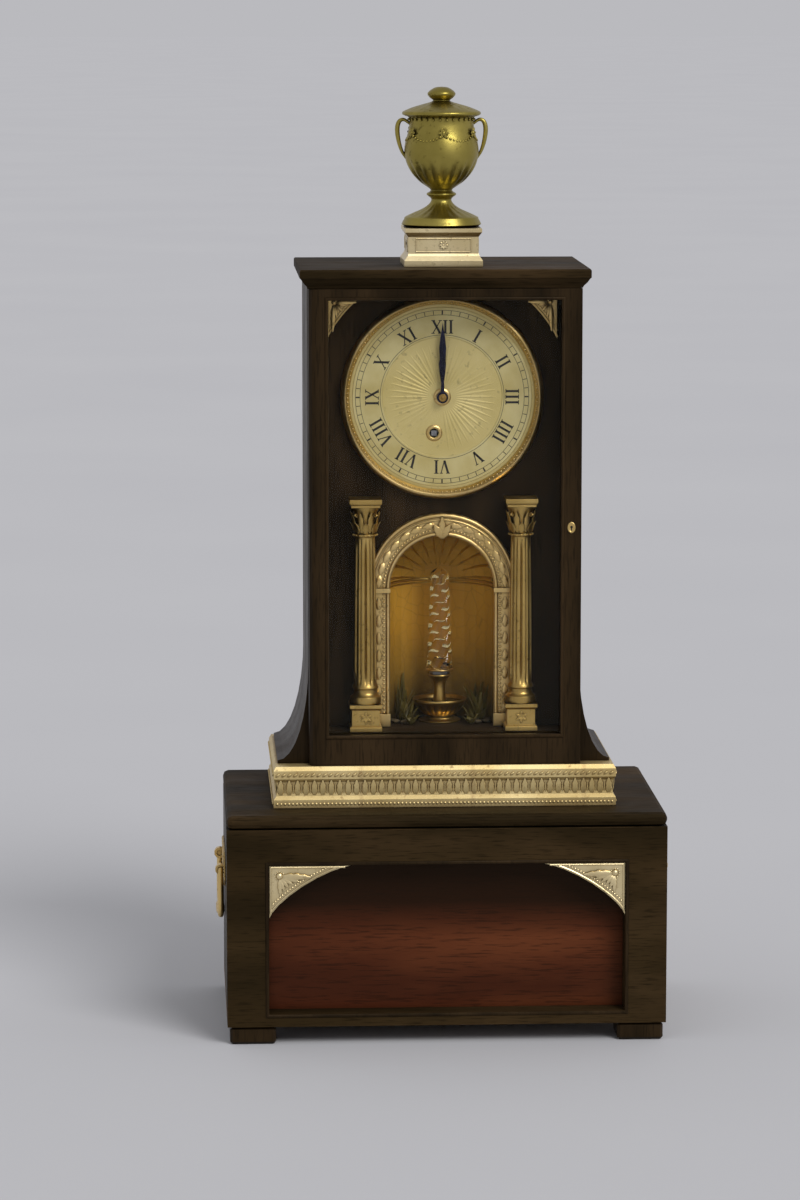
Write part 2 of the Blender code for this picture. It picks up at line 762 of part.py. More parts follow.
def finger_hole(half_width, face, z):
    """A cutter for the shallow hole that a finger pulls a rear door by."""
    x = half_width - FINGER_HOLE_INSET
    bottom, mouth = (x, face - FINGER_HOLE_DEPTH, z), (x, face + OVERRUN, z)
    return rod("finger_hole", FINGER_HOLE_RADIUS, bottom, mouth, OAK, ROUND_STEPS)


def build_feet():
    reach = base_half - FOOT_INSET
    for across, side in ((-1, "left"), (1, "right")):
        for along, end in ((-1, "front"), (1, "back")):
            x = sorted((across * reach, across * (reach - FOOT_WIDTH)))
            near = base_back - FOOT_INSET
            y = sorted((along * near, along * (near - FOOT_WIDTH)))
            board(f"foot_{end}_{side}", (x[0], y[0], 0), (x[1], y[1], FOOT_HEIGHT - GAP), EBONY, FOOT_BEVEL)


def build_base_spandrels():
    """Gilt corners in the recess: a right angle outside and a hollow edge, |u|^p + |v|^p = 1."""
    curve = []
    for t in turns_between(0, math.pi / 2, 9):
        u, v = math.cos(t) ** (2 / SPANDREL_POWER), math.sin(t) ** (2 / SPANDREL_POWER)
        curve.append((u * BASE_SPANDREL_WIDTH, v * BASE_SPANDREL_HEIGHT))
    outline = [(BASE_SPANDREL_WIDTH, BASE_SPANDREL_HEIGHT)] + curve[::-1]
    middle = base_front + BASE_SPANDREL_THICKNESS / 2 + GAP
    for side, name in ((-1, "base_spandrel_left"), (1, "base_spandrel_right")):
        x = side * (recess_half - GAP - BASE_SPANDREL_WIDTH)
        z = recess_high - GAP - BASE_SPANDREL_HEIGHT
        points = [(side * u, v) for u, v in outline]
        flat(name, [points], BASE_SPANDREL_THICKNESS, GILT, (x, middle, z), FACING_FRONT)


def build_handles():
    """A backplate with two ears on each side, and a drop handle whose pins turn in the ears."""
    axis_z = base_floor + HANDLE_RISE
    stand = GAP + HANDLE_PLATE + GAP + HANDLE_WIRE
    half = HANDLE_SPAN / 2
    ear_middle = half - HANDLE_WIRE - GAP * 2 - HANDLE_EAR_LENGTH / 2
    for side, label in ((-1, "left"), (1, "right")):
        face = side * (base_half + GAP)
        axis_x = side * (base_half + stand)
        end_radius = HANDLE_PLATE_HEIGHT / 2
        straight = HANDLE_PLATE_LENGTH / 2 - end_radius
        outline = arc(end_radius, -math.pi / 2, math.pi / 2, 7, (straight, 0))
        outline += arc(end_radius, math.pi / 2, math.pi * 3 / 2, 7, (-straight, 0))
        middle = face + side * HANDLE_PLATE / 2
        mount = flat(f"handle_mount_{label}", [outline], HANDLE_PLATE, GILT, (middle, 0, axis_z), ALONG_X)
        ears, holes = [], []
        left, right = sorted((middle, axis_x))
        for end in (-1, 1):
            near = end * ear_middle - HANDLE_EAR_LENGTH / 2
            far = near + HANDLE_EAR_LENGTH
            ends = (axis_x, near, axis_z), (axis_x, far, axis_z)
            ears.append(rod("ear", HANDLE_EAR_RADIUS, *ends, GILT, 10))
            low = (left, near + GAP, axis_z - HANDLE_WIRE)
            ears.append(board("root", low, (right, far - GAP, axis_z + HANDLE_WIRE), GILT))
            ends = (axis_x, near - OVERRUN, axis_z), (axis_x, far + OVERRUN, axis_z)
            holes.append(rod("eye", HANDLE_WIRE + RUNNING_GAP, *ends, GILT))
        left, right = sorted((face, face - side * HANDLE_EAR_RADIUS))
        low = (left, -base_half, axis_z - HANDLE_PLATE_HEIGHT)
        base_wall = board("wall", low, (right, base_half, axis_z + HANDLE_PLATE_HEIGHT), GILT)
        mount = fuse(mount, *ears)
        cut(mount, base_wall, *holes)
        points = handle_route(axis_x, axis_z, half)
        bail = wire(f"handle_{label}", points, HANDLE_WIRE, GILT)
        hang(axis_empty(f"handle_{label}_axis", (axis_x, 0, axis_z)), bail)


def handle_route(x, z, half):
    """The drop handle's middle line: a pin inwards at each end, two arms and a low swell between them."""
    corner = HANDLE_DROP / 3
    low = z - HANDLE_DROP
    right = [(half - HANDLE_PIN_LENGTH, z), (half, z)]
    right += arc(corner, 0, -math.pi / 2, 4, (half - corner, low + corner))
    route = right + [(-y, height) for y, height in reversed(right)]
    return [(x, y, height) for y, height in route]


def build_case():
    """The upper case: gilt foot moulding, floor, flared sides, cornice and two doors."""
    moulding_half = case_half + FLARE_WIDTH + FOOT_MOULDING_LEDGE
    front, back = case_front - FOOT_MOULDING_FRONT, case_back + FOOT_MOULDING_LEDGE
    low_shares = ((0.0, 0.0), (0.0, 0.20), (0.55, 0.28), (0.75, 0.45))
    high_shares = ((0.55, 0.62), (0.0, 0.70), (0.0, 0.90), (0.5, 1.0))
    ledge, height = FOOT_MOULDING_LEDGE, FOOT_MOULDING_HEIGHT
    steps = [(ledge * a, moulding_low + height * b) for a, b in low_shares + high_shares]
    moulding = moulded_slab("foot_moulding", moulding_half, front, back, steps, GILT_WOOD)
    front_radius, back_radius = FRONT_DOOR / 2, CASE_DOOR / 2
    front_pivot = (-case_half + front_radius, case_front + front_radius)
    back_pivot = (-case_half + back_radius, case_back - back_radius)
    sockets = [pin_socket(pivot, moulding_high, False) for pivot in (front_pivot, back_pivot)]
    cut(moulding, *sockets, shaft_hole(moulding_low, moulding_high))
    floor = board(
        "case_floor",
        (-case_inside + GAP, door_back + GAP, step_low),
        (case_inside - GAP, case_door_front - GAP, step_high),
        EBONY,
    )
    cut(floor, shaft_hole(step_low, step_high))
    build_sides()
    low_shares = ((1.0, 0.0), (0.85, 0.12), (0.45, 0.30), (0.15, 0.50))
    high_shares = ((0.0, 0.56), (0.0, 0.92), (0.12, 1.0))
    steps = [(CORNICE_OVERHANG * a, case_top + CORNICE_HEIGHT * b) for a, b in low_shares + high_shares]
    cornice = moulded_slab(
        "cornice",
        case_half + CORNICE_OVERHANG,
        case_front - CORNICE_OVERHANG,
        case_back + CORNICE_OVERHANG,
        steps,
        EBONY,
    )
    cut(cornice, *[pin_socket(pivot, case_top, True) for pivot in (front_pivot, back_pivot)])
    build_front_door()
    faces = case_door_front, case_back
    door, pivot = swing_door("case_rear_door", case_half, *faces, door_low, door_high, OAK)
    middle = (door_low + door_high) / 2
    door = cut(door, finger_hole(case_half, case_back, middle))
    hang(axis_empty("case_rear_door_axis", (*pivot, middle)), door)


def build_sides():
    """Each side is one board whose foot flares out in a quarter ellipse."""
    low, high = step_low, case_top - GAP
    flare_top = low + FLARE_EDGE + FLARE_HEIGHT
    flare = []
    for t in turns_between(0, math.pi / 2, 9):
        x = case_half + FLARE_WIDTH * (1 - math.cos(t))
        flare.append((x, flare_top - FLARE_HEIGHT * math.sin(t)))
    outline = [(case_inside, low), (case_inside, high), (case_half, high)] + flare
    outline.append((case_half + FLARE_WIDTH, low))
    near, far = door_back + GAP, case_door_front - GAP
    for side, name in ((-1, "case_left_side"), (1, "case_right_side")):
        points = [(side * x, z) for x, z in outline]
        flat(name, [points], far - near, EBONY, (0, (near + far) / 2, 0), FACING_FRONT)


def build_front_door():
    """The glazed front door: one frame with its pins, rebated from behind for the glass."""
    door, pivot = swing_door(
        "front_door_frame", case_half, case_front, door_back, door_low, door_high, EBONY)
    half = case_half - FRONT_DOOR_STILE
    low, high = door_low + FRONT_DOOR_BOTTOM_RAIL, door_high - FRONT_DOOR_TOP_RAIL
    hole = board("hole", (-half, case_front - OVERRUN, low), (half, door_back + OVERRUN, high), EBONY)
    glass_front = case_front + GLASS_SET_BACK
    wide = half + GLASS_REBATE
    rebate = board(
        "rebate",
        (-wide, glass_front, low - GLASS_REBATE),
        (wide, door_back + OVERRUN, high + GLASS_REBATE),
        EBONY,
    )
    door = cut(door, hole, rebate)
    inset = GLASS_REBATE - GAP
    glass = board(
        "front_door_glass",
        (-half - inset, glass_front + GAP, low - inset),
        (half + inset, glass_front + GAP + GLASS_THICKNESS, high + inset),
        GLASS,
    )
    hang(axis_empty("front_door_axis", (*pivot, (door_low + door_high) / 2)), door, glass)


def build_display():
    """What shows behind the glass: dial board, dial, bezel, spandrels, columns, arch and niche."""
    width = case_inside - GAP
    outline = [(NICHE_RADIUS, column_low)] + arc(NICHE_RADIUS, 0, math.pi, 17, (0, spring_z))
    outline += [(-NICHE_RADIUS, column_low), (-width, column_low)]
    outline += [(-width, case_top - GAP), (width, case_top - GAP), (width, column_low)]
    pipe_hole = circle(PIPE_RADIUS + PIPE_HOLE / 2, centre_at, SMALL_STEPS)
    key_hole = circle(WINDING_HOLE + RUNNING_GAP, great_at, SMALL_STEPS)
    middle = (board_front + board_back) / 2
    flat("dial_board", [outline, pipe_hole, key_hole], DIAL_BOARD, EBONY, (0, middle, 0), FACING_FRONT)
    face = [circle(DIAL_RADIUS, (0, 0), FINE_STEPS), circle(PIPE_HOLE, (0, 0), SMALL_STEPS)]
    face.append(circle(WINDING_HOLE, great_at - centre_at, SMALL_STEPS))
    dial_middle = board_front - GAP - DIAL_THICKNESS / 2
    flat("dial", face, DIAL_THICKNESS, DIAL, at_y(centre_at, dial_middle), FACING_FRONT)
    build_bezel()
    build_spandrels()
    for side, name in ((-1, "column_left"), (1, "column_right")):
        build_column(name, side * COLUMN_SPREAD)
    build_arch()
    build_niche()


def build_bezel():
    """A turned ring round the dial, with a lip over the dial's edge and a rounded front."""
    seat = board_front - GAP
    front = seat - BEZEL_DEPTH
    lip_back = dial_front - GAP
    inner = DIAL_RADIUS - BEZEL_LIP
    recess = DIAL_RADIUS + GAP
    profile = (
        (bezel_radius, seat),
        (bezel_radius - BEZEL_WIDTH / 4, front + BEZEL_WIDTH / 4),
        (bezel_radius - BEZEL_WIDTH / 2, front),
        (inner + BEZEL_LIP / 2, front + BEZEL_WIDTH / 4),
        (inner, lip_back - BEZEL_WIDTH / 8),
        (inner, lip_back),
        (recess, lip_back),
        (recess, seat),
    )
    turned("dial_bezel", profile, GILT, at_y(centre_at, 0), ALONG_Y, FINE_STEPS, bored=True)


def build_spandrels():
    """The dial's upper corners: a right angle outside and a hollow edge on a circle about the dial."""
    x = case_half - FRONT_DOOR_STILE - GAP
    z = case_top - DIAL_TOP_MARGIN - GAP - centre_at.y
    start, end = math.acos(x / SPANDREL_REACH), math.asin(z / SPANDREL_REACH)
    outline = [(x, z)] + arc(SPANDREL_REACH, end, start, 7)
    middle = board_front - GAP - SPANDREL_THICKNESS / 2
    for side, name in ((-1, "case_spandrel_left"), (1, "case_spandrel_right")):
        points = [(side * u, v) for u, v in outline]
        flat(name, [points], SPANDREL_THICKNESS, GILT, at_y(centre_at, middle), FACING_FRONT)


def build_column(name, x):
    """A square pedestal, a tapered shaft with a turned foot and capital, and a square abacus."""
    half = COLUMN_BLOCK / 2
    shaft_low = column_low + COLUMN_PEDESTAL
    abacus_low = column_high - COLUMN_ABACUS
    capital_low = abacus_low - COLUMN_CAPITAL
    foot_high = shaft_low + COLUMN_FOOT
    thin = COLUMN_SHAFT_RADIUS * COLUMN_TAPER_SHARE
    capital_shares = ((0.96, 1.0), (0.80, 0.72), (0.66, 0.36), (0.78, 0.14), (0.66, 0.0))
    foot_shares = ((0.80, 1.0), (0.88, 0.8), (0.78, 0.6), (0.96, 0.35), (0.96, 0.0))
    capital = [(half * a, capital_low + COLUMN_CAPITAL * b) for a, b in capital_shares]
    foot = [(half * a, shaft_low + COLUMN_FOOT * b) for a, b in foot_shares]
    profile = [(0, abacus_low + OVERRUN), (capital[0][0], abacus_low + OVERRUN)] + capital
    profile += [(thin, capital_low - OVERRUN), (COLUMN_SHAFT_RADIUS, foot_high + OVERRUN)] + foot
    profile += [(foot[-1][0], shaft_low - OVERRUN), (0, shaft_low - OVERRUN)]
    column = turned(name, profile, GILT, (x, column_y, 0), steps=12)
    near, far = column_y - half, column_y + half
    pedestal = board("pedestal", (x - half, near, column_low), (x + half, far, shaft_low), GILT)
    abacus = board("abacus", (x - half, near, abacus_low), (x + half, far, column_high), GILT)
    fuse(column, pedestal, abacus)


def build_arch():
    """The gilt arch round the niche's mouth, with two straight legs down to the floor."""
    outline = [(arch_outer, column_low)] + arc(arch_outer, 0, math.pi, 21, (0, spring_z))
    outline += [(-arch_outer, column_low), (-arch_inner, column_low)]
    outline += arc(arch_inner, math.pi, 0, 21, (0, spring_z)) + [(arch_inner, column_low)]
    middle = board_front - GAP - ARCH_THICKNESS / 2
    flat("arch", [outline], ARCH_THICKNESS, GILT, (0, middle, 0), FACING_FRONT)


def build_niche():
    """A half-round niche under a half dome: a bell turned about its axis, with its front half cut away."""
    count = 6
    outer = arc(NICHE_RADIUS + NICHE_WALL, math.pi / 2, 0, count, (0, spring_z))
    inner = arc(NICHE_RADIUS, 0, math.pi / 2, count, (0, spring_z))
    profile = outer + [(NICHE_RADIUS + NICHE_WALL, column_low), (NICHE_RADIUS, column_low)] + inner
    axis = (0, board_back, 0)
    niche = turned("scene_niche", profile, SCENE, axis, steps=24)
    reach = NICHE_RADIUS * 2
    front = board(
        "front",
        (-reach, board_back - reach, column_low - OVERRUN),
        (reach, board_back + GAP, spring_z + reach),
        SCENE,
    )
    cut(niche, front)


def build_fountain():
    """A basin with a hollow pedestal, the shaft that comes up through it, and the twisted water rod."""
    hole = SHAFT_RADIUS + RUNNING_GAP
    rim = column_low + BASIN_HEIGHT
    outside_shares = ((1.0, 1.0), (1.0, 0.88), (0.86, 0.58), (0.52, 0.26), (0.6, 0.12), (0.78, 0.0))
    pedestal_shares = ((1.0, 1.0), (0.9, 0.95), (0.55, 0.82), (0.6, 0.24))
    inside_shares = ((0.55, 0.36), (0.80, 0.70))
    profile = [(BASIN_RADIUS * a, column_low + BASIN_HEIGHT * b) for a, b in outside_shares]
    profile += [(hole, column_low), (hole, pedestal_top)]
    profile += [(PEDESTAL_RADIUS * a, column_low + PEDESTAL_HEIGHT * b) for a, b in pedestal_shares]
    profile += [(BASIN_RADIUS * a, column_low + BASIN_HEIGHT * b) for a, b in inside_shares]
    profile += [(BASIN_RADIUS - BASIN_WALL, rim)]
    turned("fountain_basin", profile, GILT, (0, 0, 0), bored=True)

    seat = pedestal_top + GAP
    top = seat + SHAFT_FLANGE
    bottom = shaft_pinion_z - SHAFT_PINION_LENGTH / 2 - SHAFT_TAIL
    profile = ((0, top), (SHAFT_FLANGE_RADIUS, top), (SHAFT_FLANGE_RADIUS, seat))
    profile += ((SHAFT_RADIUS, seat), (SHAFT_RADIUS, bottom), (0, bottom))
    shaft = turned("fountain_shaft", profile, STEEL, (0, 0, 0), steps=SMALL_STEPS)
    gap_phase = math.pi / SHAFT_PINION_TEETH
    outline = spur_teeth(SHAFT_PINION_TEETH, MUSIC_MODULE, gap_phase)
    shaft = fuse(shaft, flat("pinion", [outline], SHAFT_PINION_LENGTH, BRASS, (0, 0, shaft_pinion_z)))
    water = build_water(top + GAP)
    hang(axis_empty("fountain_axis", (0, 0, top + GAP)), shaft, water)


def build_water(low):
    """A fluted glass rod, twisted as it rises and tapering, so that it seems to pour when it turns."""
    count = ROD_FLUTES * 4
    rings = []
    for k in range(ROD_RINGS + 1):
        up = k / ROD_RINGS
        taper = 1 - (1 - ROD_TOP_SHARE) * up if k < ROD_RINGS else ROD_CAP_SHARE
        ring = []
        for i in range(count):
            turn = math.tau * i / count
            flute = ROD_FLUTE_SHARE * (math.cos(ROD_FLUTES * turn) - 1)
            radius = ROD_RADIUS * taper * (1 + flute)
            turn += ROD_TWIST * up
            ring.append((radius * math.cos(turn), radius * math.sin(turn), ROD_HEIGHT * up))
        rings.append(ring)
    return loft("fountain_rod", rings, GLASS, (0, 0, low))


def build_urn():
    """A square pedestal and a lidded urn with two loop handles, on the cornice towards its front."""
    middle_y = case_middle - URN_SET_FORWARD
    low, half = case_top + CORNICE_HEIGHT + GAP, URN_BLOCK / 2
    high = low + URN_BLOCK_HEIGHT
    low_shares = ((0.0, 0.0), (0.0, 0.16), (0.8, 0.28), (1.0, 0.34))
    high_shares = ((1.0, 0.78), (0.5, 0.86), (0.2, 0.90), (0.2, 1.0))
    steps = [(URN_BLOCK_LEDGE * a, low + URN_BLOCK_HEIGHT * b) for a, b in low_shares + high_shares]
    moulded_slab("urn_pedestal", half, middle_y - half, middle_y + half, steps, GILT)

    foot = high + GAP
    knob_shares = ((0.0, 1.0), (0.28, 0.98), (0.36, 0.945), (0.26, 0.905))
    lid_shares = ((0.40, 0.875), (0.92, 0.83), (1.0, 0.80))
    body_shares = ((0.84, 0.765), (0.86, 0.66), (0.95, 0.53), (0.86, 0.42), (0.58, 0.33))
    stem_shares = ((0.26, 0.26), (0.36, 0.22), (0.28, 0.19))
    foot_shares = ((0.50, 0.12), (0.94, 0.06), (0.94, 0.0), (0.0, 0.0))
    outline_shares = knob_shares + lid_shares + body_shares + stem_shares + foot_shares
    profile = [(URN_RADIUS * a, foot + URN_HEIGHT * b) for a, b in outline_shares]
    urn = turned("urn", profile, GILT, (0, middle_y, 0), steps=URN_STEPS)

    middle_z = foot + URN_HEIGHT * URN_HANDLE_MIDDLE_SHARE
    rise = URN_HEIGHT * URN_HANDLE_RISE_SHARE
    root = URN_RADIUS * URN_HANDLE_ROOT_SHARE
    reach = URN_HANDLE_REACH - URN_HANDLE_WIRE - root
    loops = []
    for side in (-1, 1):
        bow = arc(1, -math.pi / 2, math.pi / 2, 7)
        route = [(side * (root + reach * x), middle_y, middle_z + rise * z) for x, z in bow]
        loops.append(wire(f"loop_{side}", route, URN_HANDLE_WIRE, GILT, 1))
    fuse(urn, *loops)


def build_going_plates():
    """Two brass plates: the front one with feet to the dial board, the back one with the pillars."""
    half = PLATE_WIDTH / 2
    outline = [(-half, plate_low), (half, plate_low), (half, plate_high), (-half, plate_high)]
    hole = ARBOR_RADIUS + RUNNING_GAP
    shared = [circle(hole, at) for at in (centre_at, third_at, escape_at, anchor_at)]
    shared.append(circle(WINDING_RADIUS + RUNNING_GAP, great_at))
    front_y, back_y = (plate_front + plate_inner) / 2, (back_plate_front + back_plate_back) / 2
    front_holes = [*shared, circle(hole, minute_at)]
    thick = PLATE_THICKNESS
    front = flat("front_plate", [outline, *front_holes], thick, BRASS, (0, front_y, 0), FACING_FRONT)
    back = flat("back_plate", [outline, *shared], thick, BRASS, (0, back_y, 0), FACING_FRONT)
    across = half - PILLAR_INSET
    heights = plate_low + PILLAR_INSET, plate_high - PILLAR_INSET
    corners = [(x, z) for x in (-across, across) for z in heights]
    feet, pillars = [], []
    for x, z in corners:
        feet.append(rod("dial_foot", PILLAR_RADIUS, (x, board_back + GAP, z), (x, front_y, z), BRASS))
        pillars.append(rod("pillar", PILLAR_RADIUS, (x, plate_inner + GAP, z), (x, back_y, z), BRASS))
    fuse(front, *feet)
    fuse(back, *pillars)


def front_spur(name, teeth, module, phase, at, y, spokes=3, thickness=WHEEL_THICKNESS, look=BRASS):
    """A gear of the going movement, facing the front."""
    return spur(name, teeth, module, phase, thickness, look, at_y(at, y), FACING_FRONT, spokes)


def front_pinion(teeth, phase, at, y, module=GOING_MODULE):
    return front_spur("pinion", teeth, module, phase, at, y, 0, PINION_LENGTH, STEEL)


def arbor(at, start, end, radius=ARBOR_RADIUS):
    return rod("arbor", radius, at_y(at, start), at_y(at, end), STEEL)


def build_going_train():
    """Barrel and great wheel, centre, third and escape wheels, each on its arbor, in mesh with the next."""
    front_end, back_end = plate_front - RUNNING_GAP, back_plate_back + RUNNING_GAP
    centre_phase = meshed(GREAT_TEETH, 0, great_at, CENTRE_PINION_TEETH, centre_at)
    third_phase = meshed(CENTRE_TEETH, 0, centre_at, THIRD_PINION_TEETH, third_at)
    escape_phase = meshed(THIRD_TEETH, 0, third_at, ESCAPE_PINION_TEETH, escape_at)
    build_barrel()

    centre = front_spur("centre_wheel", CENTRE_TEETH, GOING_MODULE, 0, centre_at, centre_plane)
    pinion = front_pinion(CENTRE_PINION_TEETH, centre_phase, centre_at, great_plane, GREAT_MODULE)
    thick = MOTION_THICKNESS
    cannon = front_spur("cannon", CANNON_TEETH, MOTION_MODULE, 0, centre_at, cannon_plane, 0, thick)
    centre = fuse(centre, pinion, cannon, arbor(centre_at, minute_hand_y - HAND_THICKNESS * 2, back_end))

    third = front_spur("third_wheel", THIRD_TEETH, GOING_MODULE, 0, third_at, third_plane)
    pinion = front_pinion(THIRD_PINION_TEETH, third_phase, third_at, centre_plane)
    third = fuse(third, pinion, arbor(third_at, front_end, back_end))
    hang(axis_empty("third_axis", at_y(third_at, third_plane)), third)

    rim = ESCAPE_RADIUS - ESCAPE_TOOTH_DEPTH - WHEEL_RIM
    teeth = raked_teeth(ESCAPE_TEETH, ESCAPE_RADIUS, ESCAPE_TOOTH_DEPTH)
    where = at_y(escape_at, escape_plane)
    escape = wheel("escape_wheel", teeth, rim, WHEEL_THICKNESS, BRASS, where, FACING_FRONT)
    pinion = front_pinion(ESCAPE_PINION_TEETH, escape_phase, escape_at, third_plane)
    escape = fuse(escape, pinion, arbor(escape_at, front_end, back_end))
    hang(axis_empty("escape_axis", where), escape)
    build_hands(centre)
    build_escapement()


def build_barrel():
    """The going barrel: a bored drum in the great wheel, on a winding arbor with a ratchet and a square."""
    hole = WINDING_RADIUS + RUNNING_GAP
    back = great_plane + WHEEL_THICKNESS
    front = back - BARREL_DEPTH
    recess = front + BARREL_RECESS
    inside = barrel_radius - BARREL_RECESS
    profile = ((barrel_radius, back), (barrel_radius, front), (inside, front))
    profile += ((inside, recess), (hole, recess), (hole, back))
    drum = turned("great_wheel", profile, BRASS, at_y(great_at, 0), ALONG_Y, bored=True)
    teeth = spur_teeth(GREAT_TEETH, GREAT_MODULE, 0)
    seat = circle(barrel_radius - BARREL_RECESS / 2, count=ROUND_STEPS)
    ring = flat("ring", [teeth, seat], WHEEL_THICKNESS, BRASS, at_y(great_at, great_plane), FACING_FRONT)
    hang(axis_empty("great_axis", at_y(great_at, great_plane)), fuse(drum, ring))

    bar = arbor(great_at, board_front, back_plate_back + RUNNING_GAP, WINDING_RADIUS)
    bar.name = "winding_arbor"
    half = WINDING_SQUARE / 2
    tip, sunk = dial_front + WINDING_SET_BACK, board_front + DIAL_BOARD / 2
    low = (great_at.x - half, tip, great_at.y - half)
    square = board("square", low, (great_at.x + half, sunk, great_at.y + half), STEEL)
    where = at_y(great_at, cannon_plane)
    teeth = raked_teeth(RATCHET_TEETH, RATCHET_RADIUS, RATCHET_DEPTH)
    ratchet = flat("ratchet", [teeth], MOTION_THICKNESS, STEEL, where, FACING_FRONT)
    hang(axis_empty("winding_axis", at_y(great_at, plate_front)), fuse(bar, square, ratchet))


def hand_outline(length, boss, width):
    """A hand's outline: a round boss, then a leaf that swells and runs out to a point."""
    leaf_shares = ((0.16, 0.24), (0.24, 0.16), (0.50, 0.42), (0.66, 0.50), (0.80, 0.34), (0.92, 0.12))
    right = [(width * b, length * a) for a, b in leaf_shares]
    left = [(-x, y) for x, y in reversed(right)]
    opening = math.asin(right[0][0] / boss)
    start = math.pi / 2 + opening
    round_boss = arc(boss, start, start + math.tau - 2 * opening, 14)
    return round_boss + right + [(0, length)] + left


def build_hands(centre):
    """The hands stand at twelve. The hour hand rides on the hour wheel's pipe, round the centre arbor."""
    outline = hand_outline(MINUTE_HAND_LENGTH, HAND_BOSS, HAND_WIDTH)
    inside = ARBOR_RADIUS + RUNNING_GAP
    where = at_y(centre_at, minute_hand_y)
    minute = flat("minute_hand", [outline, circle(inside)], HAND_THICKNESS, BLUED, where, FACING_FRONT)
    hang(axis_empty("centre_axis", where), centre, minute)

    idler_phase = meshed(CANNON_TEETH, 0, centre_at, MINUTE_WHEEL_TEETH, minute_at)
    hour_phase = meshed(MINUTE_PINION_TEETH, 0, minute_at, HOUR_WHEEL_TEETH, centre_at)
    thick, count = MOTION_THICKNESS, MINUTE_WHEEL_TEETH
    idler = front_spur("minute_wheel", count, MOTION_MODULE, idler_phase, minute_at, cannon_plane, 0, thick)
    pinion = front_spur(
        "pinion", MINUTE_PINION_TEETH, hour_module, 0, minute_at, hour_plane, 0, thick, STEEL)
    front = hour_plane - thick / 2 - RUNNING_GAP
    idler = fuse(idler, pinion, arbor(minute_at, front, plate_inner + PLATE_THICKNESS))
    hang(axis_empty("minute_wheel_axis", at_y(minute_at, cannon_plane)), idler)

    back, front = hour_plane + thick / 2, hour_hand_y - HAND_THICKNESS / 2 - RUNNING_GAP
    profile = ((PIPE_RADIUS, back), (PIPE_RADIUS, front), (inside, front), (inside, back))
    pipe = turned("hour_hand", profile, BLUED, at_y(centre_at, 0), ALONG_Y, SMALL_STEPS, bored=True)
    within = (PIPE_RADIUS + inside) / 2
    where = at_y(centre_at, hour_hand_y)
    outline = hand_outline(HOUR_HAND_LENGTH, HAND_BOSS, HAND_WIDTH)
    leaf = flat("leaf", [outline, circle(within)], HAND_THICKNESS, BLUED, where, FACING_FRONT)
    teeth = spur_teeth(HOUR_WHEEL_TEETH, hour_module, hour_phase)
    thick -= RUNNING_GAP
    disc = flat("disc", [teeth, circle(within)], thick, BRASS, at_y(centre_at, hour_plane), FACING_FRONT)
    hang(axis_empty("hour_axis", where), fuse(pipe, leaf, disc))


def build_escapement():
    """The anchor spans the escape wheel's top, and the pendulum hangs from its arbor behind the plates."""
    inner = ESCAPE_RADIUS + ANCHOR_CLEARANCE
    under = inner + ANCHOR_PALLET
    over = under + ANCHOR_BAND
    start, end = math.pi / 2 - ANCHOR_SPAN, math.pi / 2 + ANCHOR_SPAN
    tip = ANCHOR_PALLET_TURN
    outline = arc(over, start, end, 11) + arc(inner, end, end - tip, 2)
    outline += arc(under, end - tip, start + tip, 9) + arc(inner, start + tip, start, 2)
    anchor = flat("anchor", [outline], WHEEL_THICKNESS, STEEL, at_y(escape_at, escape_plane), FACING_FRONT)
    hub_ends = [at_y(anchor_at, escape_plane + step) for step in (-WHEEL_THICKNESS, WHEEL_THICKNESS)]
    hub = rod("hub", ANCHOR_HUB, *hub_ends, STEEL)
    anchor = fuse(anchor, hub, arbor(anchor_at, plate_front - RUNNING_GAP, pendulum_y + PENDULUM_COLLET))

    collet = [circle(PENDULUM_COLLET, count=ROUND_STEPS), circle(ARBOR_RADIUS + RUNNING_GAP)]
    ring = flat("pendulum", collet, PENDULUM_COLLET, BRASS, at_y(anchor_at, pendulum_y), FACING_FRONT)
    bob_at = anchor_at - Vector((0, PENDULUM_LENGTH))
    top = anchor_at + Vector((0, -(PENDULUM_COLLET + ARBOR_RADIUS) / 2))
    tail = bob_at - Vector((0, BOB_RADIUS + PENDULUM_COLLET))
    stem = rod("stem", PENDULUM_ROD, at_y(top, pendulum_y), at_y(tail, pendulum_y), BRASS)
    half_shares = ((0.0, 0.5), (0.55, 0.42), (0.90, 0.18))
    back_shares = [(a, -b) for a, b in reversed(half_shares)]
    bob_shares = [*half_shares, (1, 0), *back_shares]
    profile = [(BOB_RADIUS * a, pendulum_y + BOB_THICKNESS * b) for a, b in bob_shares]
    bob = turned("bob", profile, BRASS, at_y(bob_at, 0), ALONG_Y)
    pendulum = fuse(ring, stem, bob)
    hang(axis_empty("pendulum_axis", at_y(anchor_at, pendulum_y)), anchor, pendulum)


